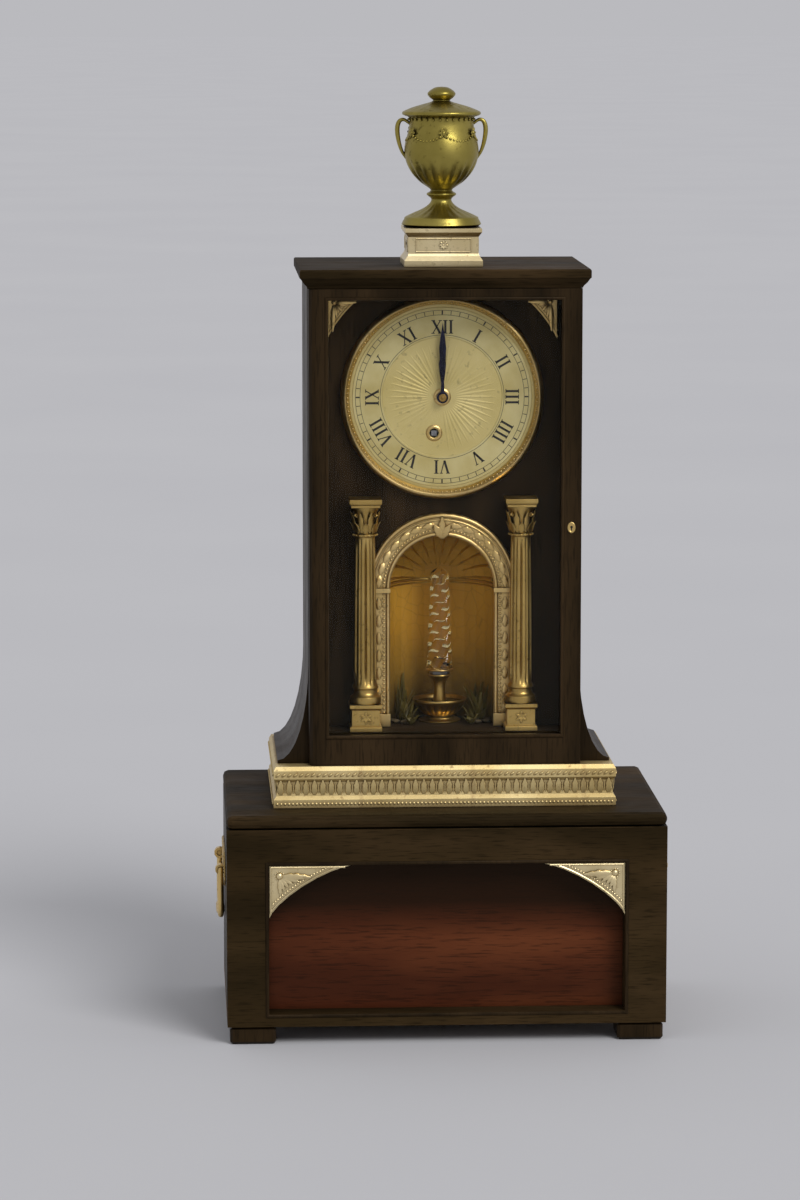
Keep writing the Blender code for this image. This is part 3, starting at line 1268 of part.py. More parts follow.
def build_music_frame():
    """The bedplate with the comb's block, and the two plates that carry the arbors."""
    left, right = music_left - MUSIC_PLATE, music_right + MUSIC_PLATE
    low = (left - BED_MARGIN, comb_back - BED_MARGIN, bed_low)
    bed = board("music_bedplate", low, (right + BED_MARGIN, music_plate_back + BED_MARGIN, bed_high), BRASS)
    low = (COMB_END_MARGIN - CYLINDER_LEFT, comb_back, bed_high - BED_THICKNESS / 2)
    block = board("block", low, (CYLINDER_RIGHT - COMB_END_MARGIN, comb_root, comb_low - GAP), BRASS)
    fuse(bed, block)
    thin, wide = MUSIC_ARBOR + RUNNING_GAP, MUSIC_BARREL_ARBOR + RUNNING_GAP
    front, back = -MUSIC_PLATE_FRONT, music_plate_back
    low, high = music_plate_low, music_plate_high
    outline = [(front, low), (back, low), (back, high), (front, high)]
    holes = [circle(thin, at) for at in (cylinder_at, drive_at, governor_at, fly_at)]
    holes.append(circle(wide, barrel_at))
    left, right = music_left - MUSIC_PLATE / 2, music_right + MUSIC_PLATE / 2
    for name, x in (("music_left_plate", left), ("music_right_plate", right)):
        flat(name, [outline, *holes], MUSIC_PLATE, BRASS, (x, 0, 0), ALONG_X)


def side_spur(name, teeth, module, phase, at, x, spokes=3, thickness=MUSIC_WHEEL, look=BRASS):
    """A gear of the musical movement, facing the side."""
    return spur(name, teeth, module, phase, thickness, look, at_x(x, at), ALONG_X, spokes)


def long_arbor(at, radius=MUSIC_ARBOR):
    """An arbor that runs from plate to plate and a little past both."""
    start, end = music_left - MUSIC_PLATE - RUNNING_GAP, music_right + MUSIC_PLATE + RUNNING_GAP
    return rod("arbor", radius, at_x(start, at), at_x(end, at), STEEL)


def build_music_train():
    """Spring barrel, pinned cylinder, comb, governor, fly and the arbor that turns the fountain's shaft."""
    module = MUSIC_MODULE
    x = barrel_wheel_x
    barrel = side_spur("music_barrel", MUSIC_BARREL_TEETH, MUSIC_BARREL_MODULE, 0, barrel_at, x, 0)
    ends = at_x(x - MUSIC_BARREL_LENGTH, barrel_at), at_x(x, barrel_at)
    drum = rod("drum", MUSIC_BARREL_RADIUS, *ends, BRASS, ROUND_STEPS)
    barrel = fuse(barrel, drum, long_arbor(barrel_at, MUSIC_BARREL_ARBOR))
    hang(axis_empty("music_barrel_axis", at_x(x, barrel_at)), barrel)

    phase = meshed(MUSIC_BARREL_TEETH, 0, barrel_at, CYLINDER_PINION_TEETH, cylinder_at)
    cylinder = pinned_cylinder()
    count, length = CYLINDER_PINION_TEETH, MUSIC_PINION
    pinion = side_spur("pinion", count, MUSIC_BARREL_MODULE, phase, cylinder_at, x, 0, length, STEEL)
    x = cylinder_wheel_x
    big = side_spur("big", CYLINDER_WHEEL_TEETH, module, 0, cylinder_at, x)
    cylinder = fuse(cylinder, pinion, big, long_arbor(cylinder_at))
    hang(axis_empty("cylinder_axis", at_x(0, cylinder_at)), cylinder)

    phase = meshed(CYLINDER_WHEEL_TEETH, 0, cylinder_at, DRIVE_WHEEL_TEETH, drive_at)
    driven = side_spur("drive_arbor", DRIVE_WHEEL_TEETH, module, phase, drive_at, x, 0)
    driven = fuse(driven, crown_wheel(), long_arbor(drive_at))
    hang(axis_empty("drive_axis", at_x(x, drive_at)), driven)

    phase = meshed(CYLINDER_WHEEL_TEETH, 0, cylinder_at, GOVERNOR_PINION_TEETH, governor_at)
    pinion = side_spur(
        "pinion", GOVERNOR_PINION_TEETH, module, phase, governor_at, x, 0, PINION_LENGTH, STEEL)
    x, count, thick = governor_wheel_x, GOVERNOR_WHEEL_TEETH, WHEEL_THICKNESS
    governor = side_spur("governor_wheel", count, FLY_MODULE, 0, governor_at, x, 3, thick)
    governor = fuse(governor, pinion, long_arbor(governor_at))
    hang(axis_empty("governor_axis", at_x(x, governor_at)), governor)

    phase = meshed(GOVERNOR_WHEEL_TEETH, 0, governor_at, FLY_PINION_TEETH, fly_at)
    fly = side_spur("fly", FLY_PINION_TEETH, FLY_MODULE, phase, fly_at, x, 0, PINION_LENGTH, STEEL)
    half = FLY_VANE_THICKNESS / 2
    low = (vane_right - FLY_VANE_LENGTH, fly_at.x - half, fly_at.y - FLY_VANE_RADIUS)
    vane = board("vane", low, (vane_right, fly_at.x + half, fly_at.y + FLY_VANE_RADIUS), BRASS)
    fly = fuse(fly, vane, long_arbor(fly_at))
    hang(axis_empty("fly_axis", at_x(x, fly_at)), fly)
    build_comb()


def crown_wheel():
    """A disc with a ring of pegs that stand towards the upright shaft. One peg is at the very top."""
    tip_height = MUSIC_MODULE * TIP_HEIGHT_SHARE
    peg_tip = shaft_pinion_radius - tip_height / 2
    near = shaft_pinion_radius + tip_height + CROWN_GAP
    far = near + CROWN_DISC
    disc = rod(
        "crown", crown_radius + CROWN_RIM, at_x(near, drive_at), at_x(far, drive_at), BRASS, CROWN_PEGS)
    pegs = []
    for y, z in arc(crown_radius, math.pi / 2, math.pi * 5 / 2, CROWN_PEGS + 1, drive_at)[:-1]:
        pegs.append(rod("peg", CROWN_PEG_RADIUS, (peg_tip, y, z), ((near + far) / 2, y, z), STEEL, 4))
    return fuse(disc, *pegs)


def pinned_cylinder():
    """The cylinder's skin is a grid of tracks and sides. A rule picks the cells drawn out into pins."""
    mesh = bpy.data.meshes.new("music_cylinder")
    bm = bmesh.new()
    width = (CYLINDER_LEFT + CYLINDER_RIGHT) / CYLINDER_TRACKS
    ring = circle(cylinder_radius, cylinder_at, CYLINDER_SIDES)
    edges = [width * k - CYLINDER_LEFT for k in range(CYLINDER_TRACKS + 1)]
    rings = [[bm.verts.new((x, *place)) for place in ring] for x in edges]
    cells = []
    for left, right in zip(rings, rings[1:]):
        for i, vert in enumerate(left):
            after = (i + 1) % CYLINDER_SIDES
            cells.append(bm.faces.new((vert, right[i], right[after], left[after])))
    bm.faces.new(rings[0])
    bm.faces.new(reversed(rings[-1]))
    bmesh.ops.recalc_face_normals(bm, faces=bm.faces)
    stride = CYLINDER_SIDES * PIN_TRACKS_APART + PIN_SIDES_APART
    picked = {k * stride % len(cells) for k in range(CYLINDER_PINS)}
    pinned = [cells[k] for k in sorted(picked)]
    bmesh.ops.inset_individual(bm, faces=pinned, thickness=width * PIN_BORDER_SHARE)
    for face in pinned:
        middle = face.calc_center_median()
        outward = Vector((0, middle.y - cylinder_at.x, middle.z - cylinder_at.y)).normalized()
        raised = bmesh.ops.extrude_discrete_faces(bm, faces=[face])["faces"][0]
        bmesh.ops.translate(bm, verts=raised.verts, vec=outward * CYLINDER_PIN)
    bm.to_mesh(mesh)
    bm.free()
    return add("music_cylinder", mesh, BRASS)


def build_comb():
    """A steel comb: a heel on the block and a row of teeth that reach to the pins."""
    left, right = COMB_END_MARGIN - CYLINDER_LEFT, CYLINDER_RIGHT - COMB_END_MARGIN
    pitch = (right - left) / COMB_TEETH
    slot = pitch * COMB_SLOT_SHARE
    outline = [(right, comb_back), (right, comb_tip)]
    for k in range(1, COMB_TEETH):
        edge = right - pitch * k
        outline += [(edge + slot, comb_tip), (edge + slot, comb_root), (edge, comb_root), (edge, comb_tip)]
    outline += [(left, comb_tip), (left, comb_back)]
    flat("music_comb", [outline], COMB_THICKNESS, STEEL, (0, 0, cylinder_at.y))


build_base()
build_handles()
build_case()
build_display()
build_fountain()
build_urn()
build_going_plates()
build_going_train()
build_music_frame()
build_music_train()
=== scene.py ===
"""Looks of a musical automaton clock: its finishes, and the cast, turned and engraved work on its solids.

The scene is in metres, +Z is up and the clock faces -Y. Every new piece is worked out in place as whole
arrays of points in millimetres, so its object stays at the origin and its patterns stay on it when it moves.
"""

from math import asin, atan2, cos, hypot, pi, radians, sin, tau

import bpy
import numpy as np
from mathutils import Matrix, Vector


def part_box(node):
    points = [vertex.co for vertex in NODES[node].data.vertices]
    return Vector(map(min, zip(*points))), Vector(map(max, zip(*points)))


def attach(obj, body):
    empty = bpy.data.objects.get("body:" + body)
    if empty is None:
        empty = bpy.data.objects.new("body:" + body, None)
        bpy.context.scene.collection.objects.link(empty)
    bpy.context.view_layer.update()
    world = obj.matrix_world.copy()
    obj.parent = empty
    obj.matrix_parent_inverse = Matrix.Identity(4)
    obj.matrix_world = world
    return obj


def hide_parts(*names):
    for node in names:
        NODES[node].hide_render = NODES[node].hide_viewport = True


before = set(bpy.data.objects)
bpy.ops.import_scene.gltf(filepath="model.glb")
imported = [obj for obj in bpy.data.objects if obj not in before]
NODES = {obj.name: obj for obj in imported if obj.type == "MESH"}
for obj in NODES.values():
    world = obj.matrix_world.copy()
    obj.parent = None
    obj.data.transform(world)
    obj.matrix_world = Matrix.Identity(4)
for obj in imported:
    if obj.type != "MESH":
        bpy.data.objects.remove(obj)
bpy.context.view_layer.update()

MM = 0.001
RIGHT = np.array((1.0, 0.0, 0.0))
BACK = np.array((0.0, 1.0, 0.0))
UP = np.array((0.0, 0.0, 1.0))
FRONT = -BACK
SIDES = (("left", -1), ("right", 1))
CORNERS = ((-1, -1), (1, -1), (1, 1), (-1, 1))
HUMP = (0, 1, 1, 0)


def box(name):
    """A solid's lowest and highest corner, in millimetres."""
    return [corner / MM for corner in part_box(name)]


# Places that the solids give, in millimetres
dial_low, dial_high = box("dial")
arch_low, arch_high = box("arch")
DIAL_CENTRE = np.array((0.0, dial_low.y, (dial_low.z + dial_high.z) / 2))
ARCH_RADIUS = arch_high.x
ARCH_INNER = ARCH_RADIUS - 17
ARCH_SPRING = np.array((0.0, arch_low.y, arch_high.z - ARCH_RADIUS))


class Value:
    """The output of a shader node. Maths on it adds Math nodes, so a pattern reads as an expression."""

    def __init__(self, nodes, socket):
        self.nodes = nodes
        self.socket = socket

    def maths(self, operation, *others):
        return self.nodes.node("Math", {"operation": operation}, dict(enumerate((self, *others))))

    def __add__(self, other):
        return self.maths("ADD", other)

    def __mul__(self, other):
        return self.maths("MULTIPLY", other)

    def __sub__(self, other):
        return self.maths("SUBTRACT", other)

    def __rsub__(self, other):
        return self.nodes.node("Math", {"operation": "SUBTRACT"}, {0: other, 1: self})

    def __pow__(self, other):
        return self.maths("POWER", other)

    def sine(self):
        return self.maths("SINE")

    def ramp(self, low, high, start=0.0, end=1.0):
        """The value's place between low and high, held within them, as a number from start to end."""
        inputs = {"Value": self, "From Min": low, "From Max": high, "To Min": start, "To Max": end}
        return self.nodes.node("MapRange", {"clamp": True}, inputs)


class Nodes:
    """The making of nodes in a shader tree."""

    def __init__(self, tree):
        self.tree = tree

    def feed(self, socket, value):
        if isinstance(value, Value):
            self.tree.links.new(value.socket, socket)
        elif hasattr(value, "__len__") and len(value) == 3 and socket.type == "RGBA":
            socket.default_value = (*value, 1)
        else:
            socket.default_value = value

    def node(self, kind, settings=None, inputs=None, out=0):
        """Any node: its settings, a ramp's stops among them, then the values or links of its sockets."""
        made = self.tree.nodes.new("ShaderNode" + kind)
        for key, value in (settings or {}).items():
            if key == "stops":
                while len(made.color_ramp.elements) < len(value):
                    made.color_ramp.elements.new(1)
                for element, (at, colour) in zip(made.color_ramp.elements, value):
                    element.position = at
                    element.color = (*colour, 1)
            else:
                setattr(made, key, value)
        for key, value in (inputs or {}).items():
            self.feed(made.inputs[key], value)
        return Value(self, made.outputs[out])

    def mix(self, factor, low, high):
        """One colour laid over another by a factor."""
        return self.node("Mix", {"data_type": "RGBA"}, {0: factor, 6: low, 7: high}, 2)


class Finish(Nodes):
    """A Principled material. What is the same all over goes straight to the shader's own sockets."""

    def __init__(self, name, **sockets):
        self.look = bpy.data.materials.new(name)
        self.look.use_nodes = True
        super().__init__(self.look.node_tree)
        self.shader = self.tree.nodes["Principled BSDF"]
        self.place = self.node("TexCoord", out="Object")
        self.set(**sockets)

    def set(self, **sockets):
        for name, value in sockets.items():
            self.feed(self.shader.inputs[name.replace("_", " ")], value)

    def axis(self, index):
        return self.node("SeparateXYZ", inputs={0: self.place}, out=index)

    def stretched(self, scale, centre=(0, 0, 0)):
        """The place, moved to a centre and stretched by a factor on each axis."""
        inputs = {"Vector": self.place, "Location": [-c * s for c, s in zip(centre, scale)], "Scale": scale}
        return self.node("Mapping", {"vector_type": "POINT"}, inputs)

    def noise(self, scale, detail, where=None):
        return self.node("TexNoise", {}, {"Vector": where or self.place, "Scale": scale, "Detail": detail})

    def cells(self, scale, feature="F1"):
        inputs = {"Vector": self.place, "Scale": scale}
        return self.node("TexVoronoi", {"feature": feature}, inputs, "Distance")

    def hollows(self, reach):
        """1 in the open and near 0 deep in a corner, over a reach in metres."""
        return self.node("AmbientOcclusion", {"samples": 12}, {"Distance": reach}, "AO")

    def edges(self, radius):
        """About 1 on sharp edges and 0 on flats, from how far a rounded normal leans from the flat one."""
        rounded = self.node("Bevel", {"samples": 6}, {"Radius": radius})
        flat = self.node("NewGeometry", out="Normal")
        along = self.node("VectorMath", {"operation": "DOT_PRODUCT"}, {0: rounded, 1: flat}, "Value")
        return (1.0 - along).ramp(0.01, 0.25)

    def bump(self, height, depth, softened=0.0):
        """Relief of a depth in metres, over edges that are softened by a radius."""
        inputs = {"Height": height, "Distance": depth, "Strength": 1.0}
        if softened:
            inputs["Normal"] = self.node("Bevel", {"samples": 6}, {"Radius": softened})
        self.set(Normal=self.node("Bump", {}, inputs))


def linear(*srgb):
    """A colour as the shader wants it, from its 0 to 255 screen values."""
    shares = [c / 255 for c in srgb]
    return [((c + 0.055) / 1.055) ** 2.4 if c > 0.04045 else c / 12.92 for c in shares]


def wood(name, dark, middle, light, along, pitch, rough, shine, shade=None):
    """Polished wood. Growth rings are a sine of the place across the grain, bent by slow noise, and the
    pores and clouds are noise that is stretched along the grain. The polish is amber, duller in patches and
    rubbed brown on the edges. Hollows are darker, for dust and for painted shade. A painted shadow, as cast
    by a ledge above, darkens the wood from one height up to full strength at a second."""
    dark, middle, light = (linear(*colour) for colour in (dark, middle, light))
    look = Finish(name, Specular_IOR_Level=shine, Specular_Tint=(0.64, 0.51, 0.35, 1))
    soften = 0.6 * MM
    scale = [1.0, 1.0, 1.0]
    scale[along] = 0.07
    grain = look.stretched(scale)
    bend = look.noise(14, 3, grain)
    crosswise = look.axis((along + 1) % 3) * (1 / pitch) + look.axis((along + 2) % 3) * (0.6 / pitch)
    rings = (crosswise + bend * 9).sine().ramp(-1, 1)
    pores = look.noise(900, 2, grain).ramp(0.52, 0.68)
    scale[along] = 0.22
    cloud = look.noise(22, 4, look.stretched(scale))
    colour = look.mix(rings * 0.5 + cloud * 0.5, dark, middle)
    colour = look.mix(cloud.ramp(0.45, 0.75, 0, 0.5), colour, light)
    colour = look.mix(pores * 0.55, colour, [c * 0.35 for c in dark])
    worn = look.edges(soften * 2.5) * look.noise(55, 3).ramp(0.42, 0.62)
    colour = look.mix(worn * 0.55, colour, light)
    # Dust and painted shade: ambient occlusion darkens the wood in corners and recesses
    dust_and_shade = look.hollows(9 * MM).ramp(0.25, 0.8, 0.45, 1.0)
    colour = look.mix(dust_and_shade, [c * 0.3 for c in dark], colour)
    # Painted shadow: the wood darkens upwards between two heights, as if a ledge above shaded it
    if shade:
        height = look.axis(2) + (cloud - 0.5) * (12 * MM)
        colour = look.mix(height.ramp(*shade, 0.0, 0.90), colour, linear(22, 10, 4))
    look.set(Base_Color=colour)
    look.set(Roughness=look.noise(30, 4) * 0.22 + pores * 0.12 + rings * 0.05 + (rough - 0.14))
    look.bump(pores * -0.5 + rings * 0.15, 0.03 * MM, soften)
    return look.look


def gilding(name, bright, rubbed, tarnish, rough=0.34, matting=0.06 * MM, metal=1.0, leaf_width=0.0):
    """Gilding: bright where it is rubbed, brown in the hollows, clouded, and finely matted with a punch.
    Where it is laid as leaf, a faint line marks each lap. With little or no metal it is old paint, or
    the painted shadow in a keyhole."""
    bright, rubbed, tarnish = (linear(*colour) for colour in (bright, rubbed, tarnish))
    look = Finish(name, Metallic=metal)
    cloud = look.noise(38, 5)
    spots = look.noise(260, 3).ramp(0.60, 0.74)
    colour = look.mix(cloud.ramp(0.3, 0.7), bright, rubbed)
    colour = look.mix(look.hollows(3 * MM).ramp(0.25, 0.95, 0.95, 0.0), colour, tarnish)
    colour = look.mix(spots * 0.45, colour, tarnish)
    worn = look.edges(0.9 * MM) * look.noise(70, 2).ramp(0.4, 0.6)
    colour = look.mix(worn * 0.6, colour, rubbed)
    if leaf_width:
        lap = (look.axis(0) * (tau / leaf_width)).sine().ramp(0.985, 1.0)
        colour = look.mix(lap * 0.22, colour, tarnish)
    look.set(Base_Color=colour, Roughness=cloud * 0.25 + spots * 0.2 + (rough - 0.12))
    look.bump(look.cells(1500) * 0.6 + look.noise(500, 3) * 0.6, matting, 0.35 * MM)
    return look.look


def machined(name, bright, dull, rough, lines=900, metal=1.0, blue=None):
    """Worked metal with fine lines from the file, a little oil haze, and darker hollows. Blue is the tint
    that heat gives to steel."""
    bright, dull = linear(*bright), linear(*dull)
    look = Finish(name, Metallic=metal)
    haze = look.noise(45, 4)
    file_lines = look.noise(lines, 2, look.stretched((1, 0.06, 0.06)))
    colour = look.mix(haze.ramp(0.35, 0.7), bright, dull)
    colour = look.mix(look.hollows(4 * MM).ramp(0.1, 0.8, 0.85, 0.0), colour, [c * 0.25 for c in dull])
    if blue:
        colour = look.mix(look.noise(120, 2).ramp(0.4, 0.65), colour, linear(*blue))
    look.set(Base_Color=colour, Roughness=haze * 0.2 + file_lines * 0.12 + (rough - 0.14))
    look.bump(file_lines, 0.015 * MM, 0.2 * MM)
    return look.look


def dial_finish():
    """A gilt dial: fine concentric matting, and a little darker towards its edge."""
    look = Finish("dial_face", Metallic=0.45)
    spot = look.stretched((1, 0, 1), (0, 0, DIAL_CENTRE[2] * MM))
    away = look.node("VectorMath", {"operation": "LENGTH"}, {0: spot}, "Value")
    cloud = look.noise(30, 5)
    colour = look.mix(cloud.ramp(0.3, 0.7), linear(208, 188, 118), linear(224, 206, 142))
    colour = look.mix(away.ramp(52 * MM, 71 * MM, 0.0, 0.35), colour, linear(158, 138, 84))
    colour = look.mix(look.noise(240, 3).ramp(0.62, 0.75, 0, 0.4), colour, linear(110, 92, 54))
    look.set(Base_Color=colour, Roughness=cloud * 0.2 + 0.34)
    rings = (away * (tau / (0.6 * MM))).sine()
    look.bump(rings * 0.5 + look.noise(900, 2), 0.02 * MM)
    return look.look


def scene_finish():
    """The niche's painting: gold light in the middle height, brown above and olive shade below, in broken
    strokes. Outside the niche's hollow the wood is bare."""
    look = Finish("scene_paint", Roughness=0.62)
    strokes = look.noise(60, 5, look.stretched((1, 1, 0.45)))
    low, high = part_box("scene_niche")
    up = look.axis(2).ramp(low.z, high.z) + (strokes - 0.5) * 0.28
    stops = (
        (0.0, linear(104, 78, 20)),
        (0.22, linear(140, 104, 26)),
        (0.45, linear(184, 134, 34)),
        (0.68, linear(198, 146, 42)),
        (0.86, linear(182, 138, 42)),
        (1.0, linear(142, 102, 32)),
    )
    colour = look.node("ValToRGB", {"stops": stops}, {"Fac": up})
    shade = look.axis(2).ramp(low.z, low.z + 45 * MM, 0.5, 0.0) * look.cells(150).ramp(0.25, 0.5)
    colour = look.mix(shade, colour, linear(44, 44, 18))
    cracks = look.cells(85, "DISTANCE_TO_EDGE").ramp(0.0, 0.03, 0.35, 0.0)
    colour = look.mix(cracks, colour, linear(58, 38, 14))
    above = (look.axis(2) - ARCH_SPRING[2] * MM).ramp(0, 1)
    away = (look.axis(0) ** 2 + (look.axis(1) - low.y) ** 2 + above**2) ** 0.5
    outside = away.ramp(high.x - 2.0 * MM, high.x - 1.5 * MM)
    colour = look.mix(outside, colour, look.mix(look.noise(24, 4), linear(74, 62, 44), linear(104, 90, 66)))
    look.set(Base_Color=colour)
    look.bump(strokes, 0.15 * MM)
    return look.look


def door_glass():
    """Clear glass: nearly all see-through face on, and a stronger mirror towards a slanting view."""
    look = Finish("door_glass", Base_Color=(0.80, 0.86, 0.82), Metallic=1.0, Specular_IOR_Level=0.8)
    slant = look.node("LayerWeight", {}, {"Blend": 0.35}, "Facing")
    look.set(Alpha=slant.ramp(0.0, 1.0, 0.002, 0.45), Roughness=look.noise(12, 4) * 0.06 + 0.03)
    return look.look


def solid_glass(name, tint, bend):
    """Glass or water with real refraction, whose surface is faintly uneven."""
    look = Finish(name, Base_Color=linear(*tint), Transmission_Weight=1.0, IOR=bend)
    look.set(Roughness=look.noise(60, 3) * 0.06 + 0.01)
    look.bump(look.noise(120, 2), 0.02 * MM)
    return look.look


EBONY = ((24, 17, 9), (42, 31, 17), (74, 56, 36))
EBONY_BROWNER = ((30, 23, 11), (54, 41, 23), (86, 66, 43))
RED_BROWN = ((52, 21, 10), (86, 41, 22), (116, 64, 36))
OAK = ((70, 47, 27), (112, 82, 52), (146, 112, 74))
EBONY_UP = wood("ebonised_wood_upright", *EBONY, 2, 6 * MM, 0.42, 0.18)
EBONY_ACROSS = wood("ebonised_wood_across", *EBONY_BROWNER, 0, 6 * MM, 0.60, 0.08)
# Painted shadow on the recessed panel under the frieze: darker from 78 mm up, full from 102 mm
MAHOGANY = wood("mahogany", *RED_BROWN, 0, 9 * MM, 0.38, 0.25, (78 * MM, 102 * MM))
OAK_UP = wood("plain_wood_upright", *OAK, 2, 8 * MM, 0.60, 0.25)
OAK_ACROSS = wood("plain_wood_across", *OAK, 0, 8 * MM, 0.60, 0.25)
GILT = gilding("gilt", (214, 182, 114), (238, 208, 144), (92, 68, 34))
# Painted shade: a darker copy of the gilt for the columns behind the door frame and the basin and shell deep
# in the niche
GILT_SHADED = gilding("gilt_shaded", (180, 148, 80), (214, 182, 110), (68, 50, 22))
GILT_PALE = gilding("gilt_pale", (224, 202, 150), (242, 224, 178), (104, 82, 48))
GILT_URN = gilding("gilt_urn", (144, 130, 62), (176, 160, 84), (50, 42, 14), 0.36)
GILT_WOOD = gilding(
    "gilt_wood", (204, 178, 118), (226, 204, 148), (118, 80, 48), 0.42, 0.05 * MM, 0.75, 83 * MM
)
BRASS = machined("brass", (190, 156, 92), (150, 118, 62), 0.36)
STEEL = machined("steel", (170, 170, 170), (120, 121, 124), 0.34, 1200)
BLUED = machined("blued_steel", (40, 40, 48), (24, 24, 30), 0.32, 1200, 0.9, (50, 50, 70))
SILVERED = machined("silvered_ring", (220, 206, 148), (202, 184, 120), 0.5, 700, 0.5)
ENAMEL = Finish("black_enamel", Roughness=0.35, Base_Color=linear(34, 30, 26)).look
DIAL = dial_finish()
SCENE = scene_finish()
FOLIAGE = gilding("painted_foliage", (92, 84, 34), (126, 108, 46), (34, 34, 14), 0.5, 0.08 * MM, 0.15)
STONE = gilding("painted_stone", (96, 82, 56), (128, 110, 78), (44, 36, 22), 0.62, 0.12 * MM, 0.0)
# Painted shadow: the near-black of the keyhole's opening, laid on a solid
SHADOW = gilding("keyhole_shadow", (16, 13, 9), (26, 20, 13), (8, 6, 4), 0.7, 0.02 * MM, 0.0)
GLASS = door_glass()
ROD_GLASS = solid_glass("twisted_glass", (253, 236, 172), 1.47)
WATER = solid_glass("basin_water", (216, 232, 214), 1.33)


def paint_solids():
    """Gives each solid the finish of its slot, or one of its own where its grain or its tone is another, or
    where a darker gilt paints the shade it stands in.
    """
    looks = {
        "ebonised_wood": EBONY_UP, "mahogany": MAHOGANY, "plain_wood": OAK_UP, "gilt": GILT,
        "gilt_wood": GILT_WOOD, "dial_face": DIAL, "scene_paint": SCENE, "glass": GLASS,
        "brass": BRASS, "steel": STEEL, "blued_steel": BLUED,
    }
    own_looks = (
        (EBONY_ACROSS, "base_front_frame base_top_board case_floor cornice"),
        (OAK_ACROSS, "base_bottom_board base_rear_door"),
        (GILT_PALE, "base_spandrel_left base_spandrel_right urn_pedestal"),
        (GILT_SHADED, "column_left column_right fountain_basin"),
        (ROD_GLASS, "fountain_rod"),
    )
    own = {name: look for look, names in own_looks for name in names.split()}
    for name, node in NODES.items():
        for slot in node.material_slots:
            slot.material = own.get(name) or looks[slot.material.name]


def ring(grid):
    """Marks a form whose last row joins its first, as in a hoop."""
    return (grid,)


def grid_faces(rows, columns, closed):
    """The corners of each face of a grid. Its columns go round, and its rows do too where it is closed."""
    i = np.arange(rows if closed else rows - 1)[:, None]
    j = np.arange(columns)[None, :]
    after_i, after_j = (i + 1) % rows, (j + 1) % columns
    corners = (i * columns + j, i * columns + after_j, after_i * columns + after_j, after_i * columns + j)
    return np.stack(np.broadcast_arrays(*corners), -1).reshape(-1, 4)


def fan_volume(loops):
    """Six times the volume under closed loops, as a sum over the triangles of each loop's fan."""
    return np.sum(loops[:, :1] * np.cross(loops[:, 1:-1], loops[:, 2:]))


def piece(name, forms, look, body="case", sharp=40.0):
    """One object from closed forms. A form is a grid of points, (copies, rows, columns, 3): each row is a
    closed loop, the rows are joined in order, and the first and last are capped unless the form is a ring. A
    form that encloses a negative volume has its faces turned over, so that all face outwards. The points are
    in millimetres."""
    points, faces, count = [], [], 0
    for form in forms:
        closed = isinstance(form, tuple)
        grids = np.asarray(form[0] if closed else form, float)
        grids = grids.reshape(-1, *grids.shape[-3:])
        rows, columns = grids.shape[1:3]
        quads = grid_faces(rows, columns, closed)
        loop = np.arange(columns)
        caps = np.stack((loop[::-1], loop + (rows - 1) * columns))[: 0 if closed else 2]
        for grid in grids:
            flat = grid.reshape(-1, 3)
            order = -1 if fan_volume(flat[quads]) + fan_volume(flat[caps]) < 0 else 1
            faces += (quads[:, ::order] + count).tolist() + (caps[:, ::order] + count).tolist()
            points.append(flat * MM)
            count += len(flat)
    mesh = bpy.data.meshes.new(name)
    mesh.from_pydata(np.concatenate(points), [], faces)
    mesh.update()
    mesh.shade_smooth()
    mesh.set_sharp_from_angle(angle=radians(sharp))
    made = bpy.data.objects.new(name, mesh)
    bpy.context.scene.collection.objects.link(made)
    made.data.materials.append(look)
    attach(made, body)
    return made


def unit(vectors):
    return vectors / np.linalg.norm(vectors, axis=-1, keepdims=True)


def even(count, shift=0.0, whole=tau):
    """Angles at even steps round a whole, the first one a share of a step in."""
    return whole * (np.arange(count) + shift) / count


def rays(turns, start=RIGHT, end=UP):
    """Directions at the given turns from a start direction towards another that is square to it."""
    turns = np.asarray(turns, float)[..., None]
    return np.cos(turns) * start + np.sin(turns) * end


def laid(shape, at, along, out=FRONT):
    """Copies of a shape, one at each place: its y runs along, its z out and its x square to both."""
    at, along, out = np.broadcast_arrays(*(np.atleast_2d(v) for v in (at, along, out)))
    axes = np.stack((np.cross(along, out), along, out), 1)
    copies = np.einsum("...i,kij->k...j", shape, axes)
    return copies + at.reshape(-1, *(1,) * (shape.ndim - 1), 3)


def fan(root, out, turns, shapes, gap=0.0):
    """Leaves that spread from a root on a face that looks out, each at its turn from level towards up. They
    share one shape, or each has its own."""
    if isinstance(shapes, np.ndarray):
        shapes = [shapes] * len(turns)
    ways = [rays(turn, np.cross(UP, out), UP) for turn in turns]
    return [laid(shape, root + way * gap, way, out) for way, shape in zip(ways, shapes)]


def lathe(profile, steps, centre=(0, 0, 0), axis=UP, side=RIGHT, radius=None):
    """A turned form: each (radius, height) of the profile is a circle about the axis. A function of the
    angle and height may scale the radius, for flutes and gadroons."""
    turn = even(steps)[None, :]
    away, height = np.split(np.asarray(profile, float), 2, axis=1)
    if radius is not None:
        away = away * radius(turn, height)
    return away[..., None] * rays(turn, side, np.cross(axis, side)) + height[..., None] * axis + centre


def smoothed(profile, count):
    """A profile or path drawn through its points by a smooth curve, with count steps between two."""
    points = np.asarray(profile, float)
    padded = np.concatenate((2 * points[:1] - points[1:2], points, 2 * points[-1:] - points[-2:-1]))
    p0, p1, p2, p3 = (padded[k : len(padded) - 3 + k, None] for k in range(4))
    t = np.linspace(0, 1, count, endpoint=False)[None, :, None]
    bends = (2 * p0 - 5 * p1 + 4 * p2 - p3) * t**2 + (3 * p1 - p0 - 3 * p2 + p3) * t**3
    curve = 0.5 * (2 * p1 + (p2 - p0) * t + bends)
    return np.concatenate((curve.reshape(-1, points.shape[1]), points[-1:]))


